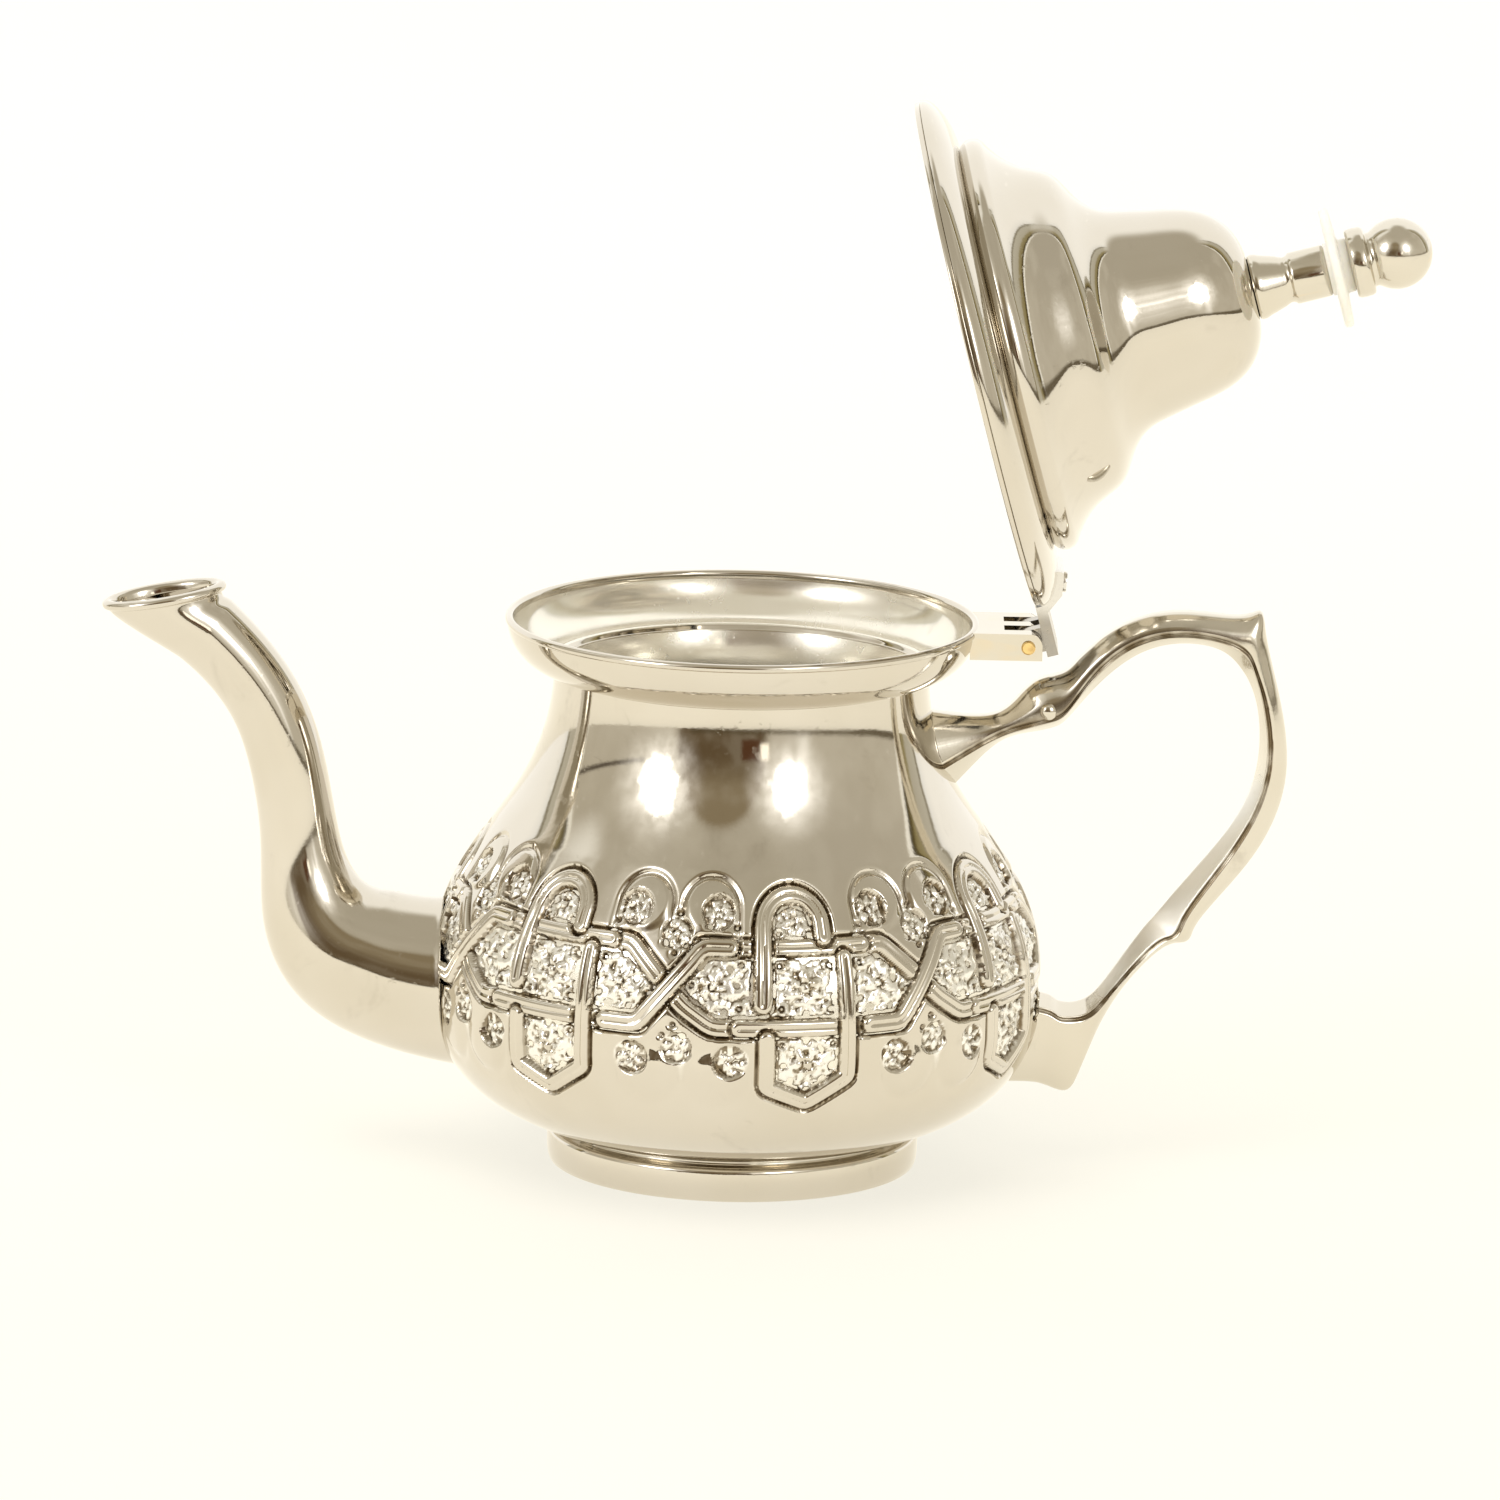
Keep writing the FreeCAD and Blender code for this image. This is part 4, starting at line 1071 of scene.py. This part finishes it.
def build_room():
    """Studio seen in the metal: taupe room in front, white paper behind, two umbrella lamps and a person."""
    world = bpy.data.worlds.new("studio")
    bpy.context.scene.world = world
    world.use_nodes = True
    nodes = Nodes(world.node_tree)
    direction = nodes.add("TexCoord").outputs["Generated"]
    x, y, z = nodes.add("SeparateXYZ", Vector=direction).outputs
    azimuth = nodes.times(nodes.math("ARCTAN2", x, nodes.times(y, -1)), 180 / math.pi)
    elevation = nodes.times(nodes.math("ARCSINE", z), 180 / math.pi)
    waver = nodes.times(nodes.minus(nodes.noise(direction, 2.2, detail=3), 0.5), 14)
    azimuth_wavy = nodes.plus(azimuth, waver)
    elevation_wavy = nodes.plus(elevation, waver)

    def patch(a, low_a, high_a, low_e, high_e, soft):
        """1 inside a patch of the sky, with soft edges."""
        def between(value, low, high):
            return nodes.times(nodes.range(value, low - soft, low + soft),
                               nodes.range(value, high + soft, high - soft))

        return nodes.times(between(a, low_a, high_a), between(elevation, low_e, high_e))

    def blob(middle_a, middle_e, radius_a, radius_e):
        """1 at the middle of an oval and 0 at its rim."""
        da = nodes.math("DIVIDE", nodes.minus(azimuth, middle_a), radius_a)
        de = nodes.math("DIVIDE", nodes.minus(elevation, middle_e), radius_e)
        far = nodes.math("SQRT", nodes.plus(nodes.times(da, da), nodes.times(de, de)))
        return nodes.range(far, 1, 0)

    def paint(amount, colour):
        """Lays colour over the room, wholly where amount is 1."""
        nonlocal room
        room = nodes.mix(amount, room, colour)

    mottled = nodes.range(nodes.noise(direction, 3.5, detail=4), 0.35, 0.7)
    room = nodes.mix(nodes.range(elevation, 0, 70), TAUPE, TAUPE_HIGH)
    cloudy = nodes.times(mottled, nodes.range(elevation, 66, 48, 0.06, 0.35))
    paint(cloudy, TAUPE_CLOUD)
    high_wall = patch(azimuth_wavy, -150, -86, 33, 70, 7)
    paint(nodes.times(high_wall, 0.85), HIGH_WALL)
    behind = nodes.range(nodes.math("ABSOLUTE", azimuth_wavy), 104, 120)
    paint(nodes.times(behind, nodes.range(elevation, 76, 55)), PAPER_WALL)
    person = nodes.range(blob(-11, 8, 32, 44), 0, 0.14)
    clothes = nodes.mix(nodes.range(elevation_wavy, 9, 30), CLOTHES_LOW, CLOTHES_HIGH)
    paint(nodes.times(person, nodes.range(mottled, 0, 1, 0.97, 0.8)), clothes)

    bend = nodes.plus(nodes.math("ABSOLUTE", azimuth), nodes.times(waver, 0.25))
    low_deg, high_deg = 100, 130
    stops = [((angle - low_deg) / (high_deg - low_deg), colour) for angle, colour in BATTEN]
    batten = nodes.ramp(nodes.range(bend, low_deg, high_deg, interpolation="LINEAR"), stops)
    past = nodes.times(nodes.range(bend, 102.8, 103.2), nodes.range(elevation, 72, 57))
    paint(past, batten)
    for low_a, high_a, low_e, high_e, soft, wavy, amount, colour in FURNITURE:
        shape = patch(azimuth_wavy if wavy else azimuth, low_a, high_a, low_e, high_e, soft)
        paint(nodes.times(shape, amount) if amount < 1 else shape, colour)

    halo = nodes.plus(*[blob(a, e, halo_a, halo_e) for a, e, _, _, halo_a, halo_e in LAMPS])
    halo = nodes.times(halo, nodes.range(nodes.noise(direction, 9, detail=3), 0.3, 0.7, 0.5, 1.2))
    paint(nodes.times(halo, 0.8), HALO_WHITE)
    ragged = nodes.times(nodes.minus(nodes.noise(direction, 12, detail=3), 0.5), 0.8)
    lamps = 0
    for a, e, half_a, half_e, _, _ in LAMPS:
        spot = nodes.plus(blob(a, e, half_a, half_e), ragged)
        lamps = nodes.math("MAXIMUM", lamps, nodes.range(spot, 0.15, 0.6))
    paint(lamps, LAMP_WHITE)

    seen = nodes.add("LightPath").outputs["Is Camera Ray"]
    paint(seen, BACKDROP)
    strength = nodes.minus(1.25, nodes.times(seen, 0.25))
    background = nodes.add("Background", Color=room, Strength=strength)
    nodes.add("OutputWorld", Surface=background.outputs[0])


def build_light():
    """Broad overhead light for the floor and the plastic; the metal doesn't show it."""
    data = bpy.data.lights.new("overhead", "AREA")
    data.shape = "DISK"
    data.size = 1.6
    data.energy = 12
    data.color = (1, 0.97, 0.92)
    lamp = bpy.data.objects.new("overhead", data)
    lamp.location = (-0.35, -0.5, 1.7)
    lamp.rotation_mode = "QUATERNION"
    lamp.rotation_quaternion = (-Vector(lamp.location)).to_track_quat("-Z", "Y")
    lamp.visible_glossy = False
    lamp.visible_camera = False
    bpy.context.scene.collection.objects.link(lamp)


def build_camera():
    """Long lens, a little above the pot, looking along +Y."""
    elevation = math.radians(12.4)
    roll = math.radians(1.2)
    distance = 2.0477
    aim = Vector((0.00163, 0, 0.06875))
    forward = Vector((0, math.cos(elevation), -math.sin(elevation)))
    level_up = Vector((0, math.sin(elevation), math.cos(elevation)))
    level_right = Vector((1, 0, 0))
    up = level_up * math.cos(roll) - level_right * math.sin(roll)
    right = level_right * math.cos(roll) + level_up * math.sin(roll)
    data = bpy.data.cameras.new("camera")
    data.lens = 300
    data.sensor_width = 36
    data.clip_start = 0.05
    data.clip_end = 50
    camera = bpy.data.objects.new("camera", data)
    turn = Matrix((right, up, -forward)).transposed()
    camera.matrix_world = Matrix.Translation(aim - forward * distance) @ turn.to_4x4()
    bpy.context.scene.collection.objects.link(camera)
    bpy.context.scene.camera = camera


build_body()
build_foot()
build_collar()
build_solder_ring()
build_spout()
build_handle()
build_handle_beads()
build_lid()
build_seat_ring()
build_finial()
dress("bottom_plate", PLATE)
dress("spout_strainer", PLATE)
dress("hinge_bracket", PLATE_CAST, 0.28)
dress("hinge_pin", PIN_BRASS)
dress("hinge_leaf", PLATE_LEAF, 0.25)
dress("leaf_rivet", PLATE_LEAF, 0.15)
dress("finial_washer", PLATE_DULL, 0.1)
dress("finial_screw", PLATE_DULL, 0.15)
build_floor()
build_room()
build_light()
build_camera()
bpy.context.scene.view_settings.view_transform = "Standard"
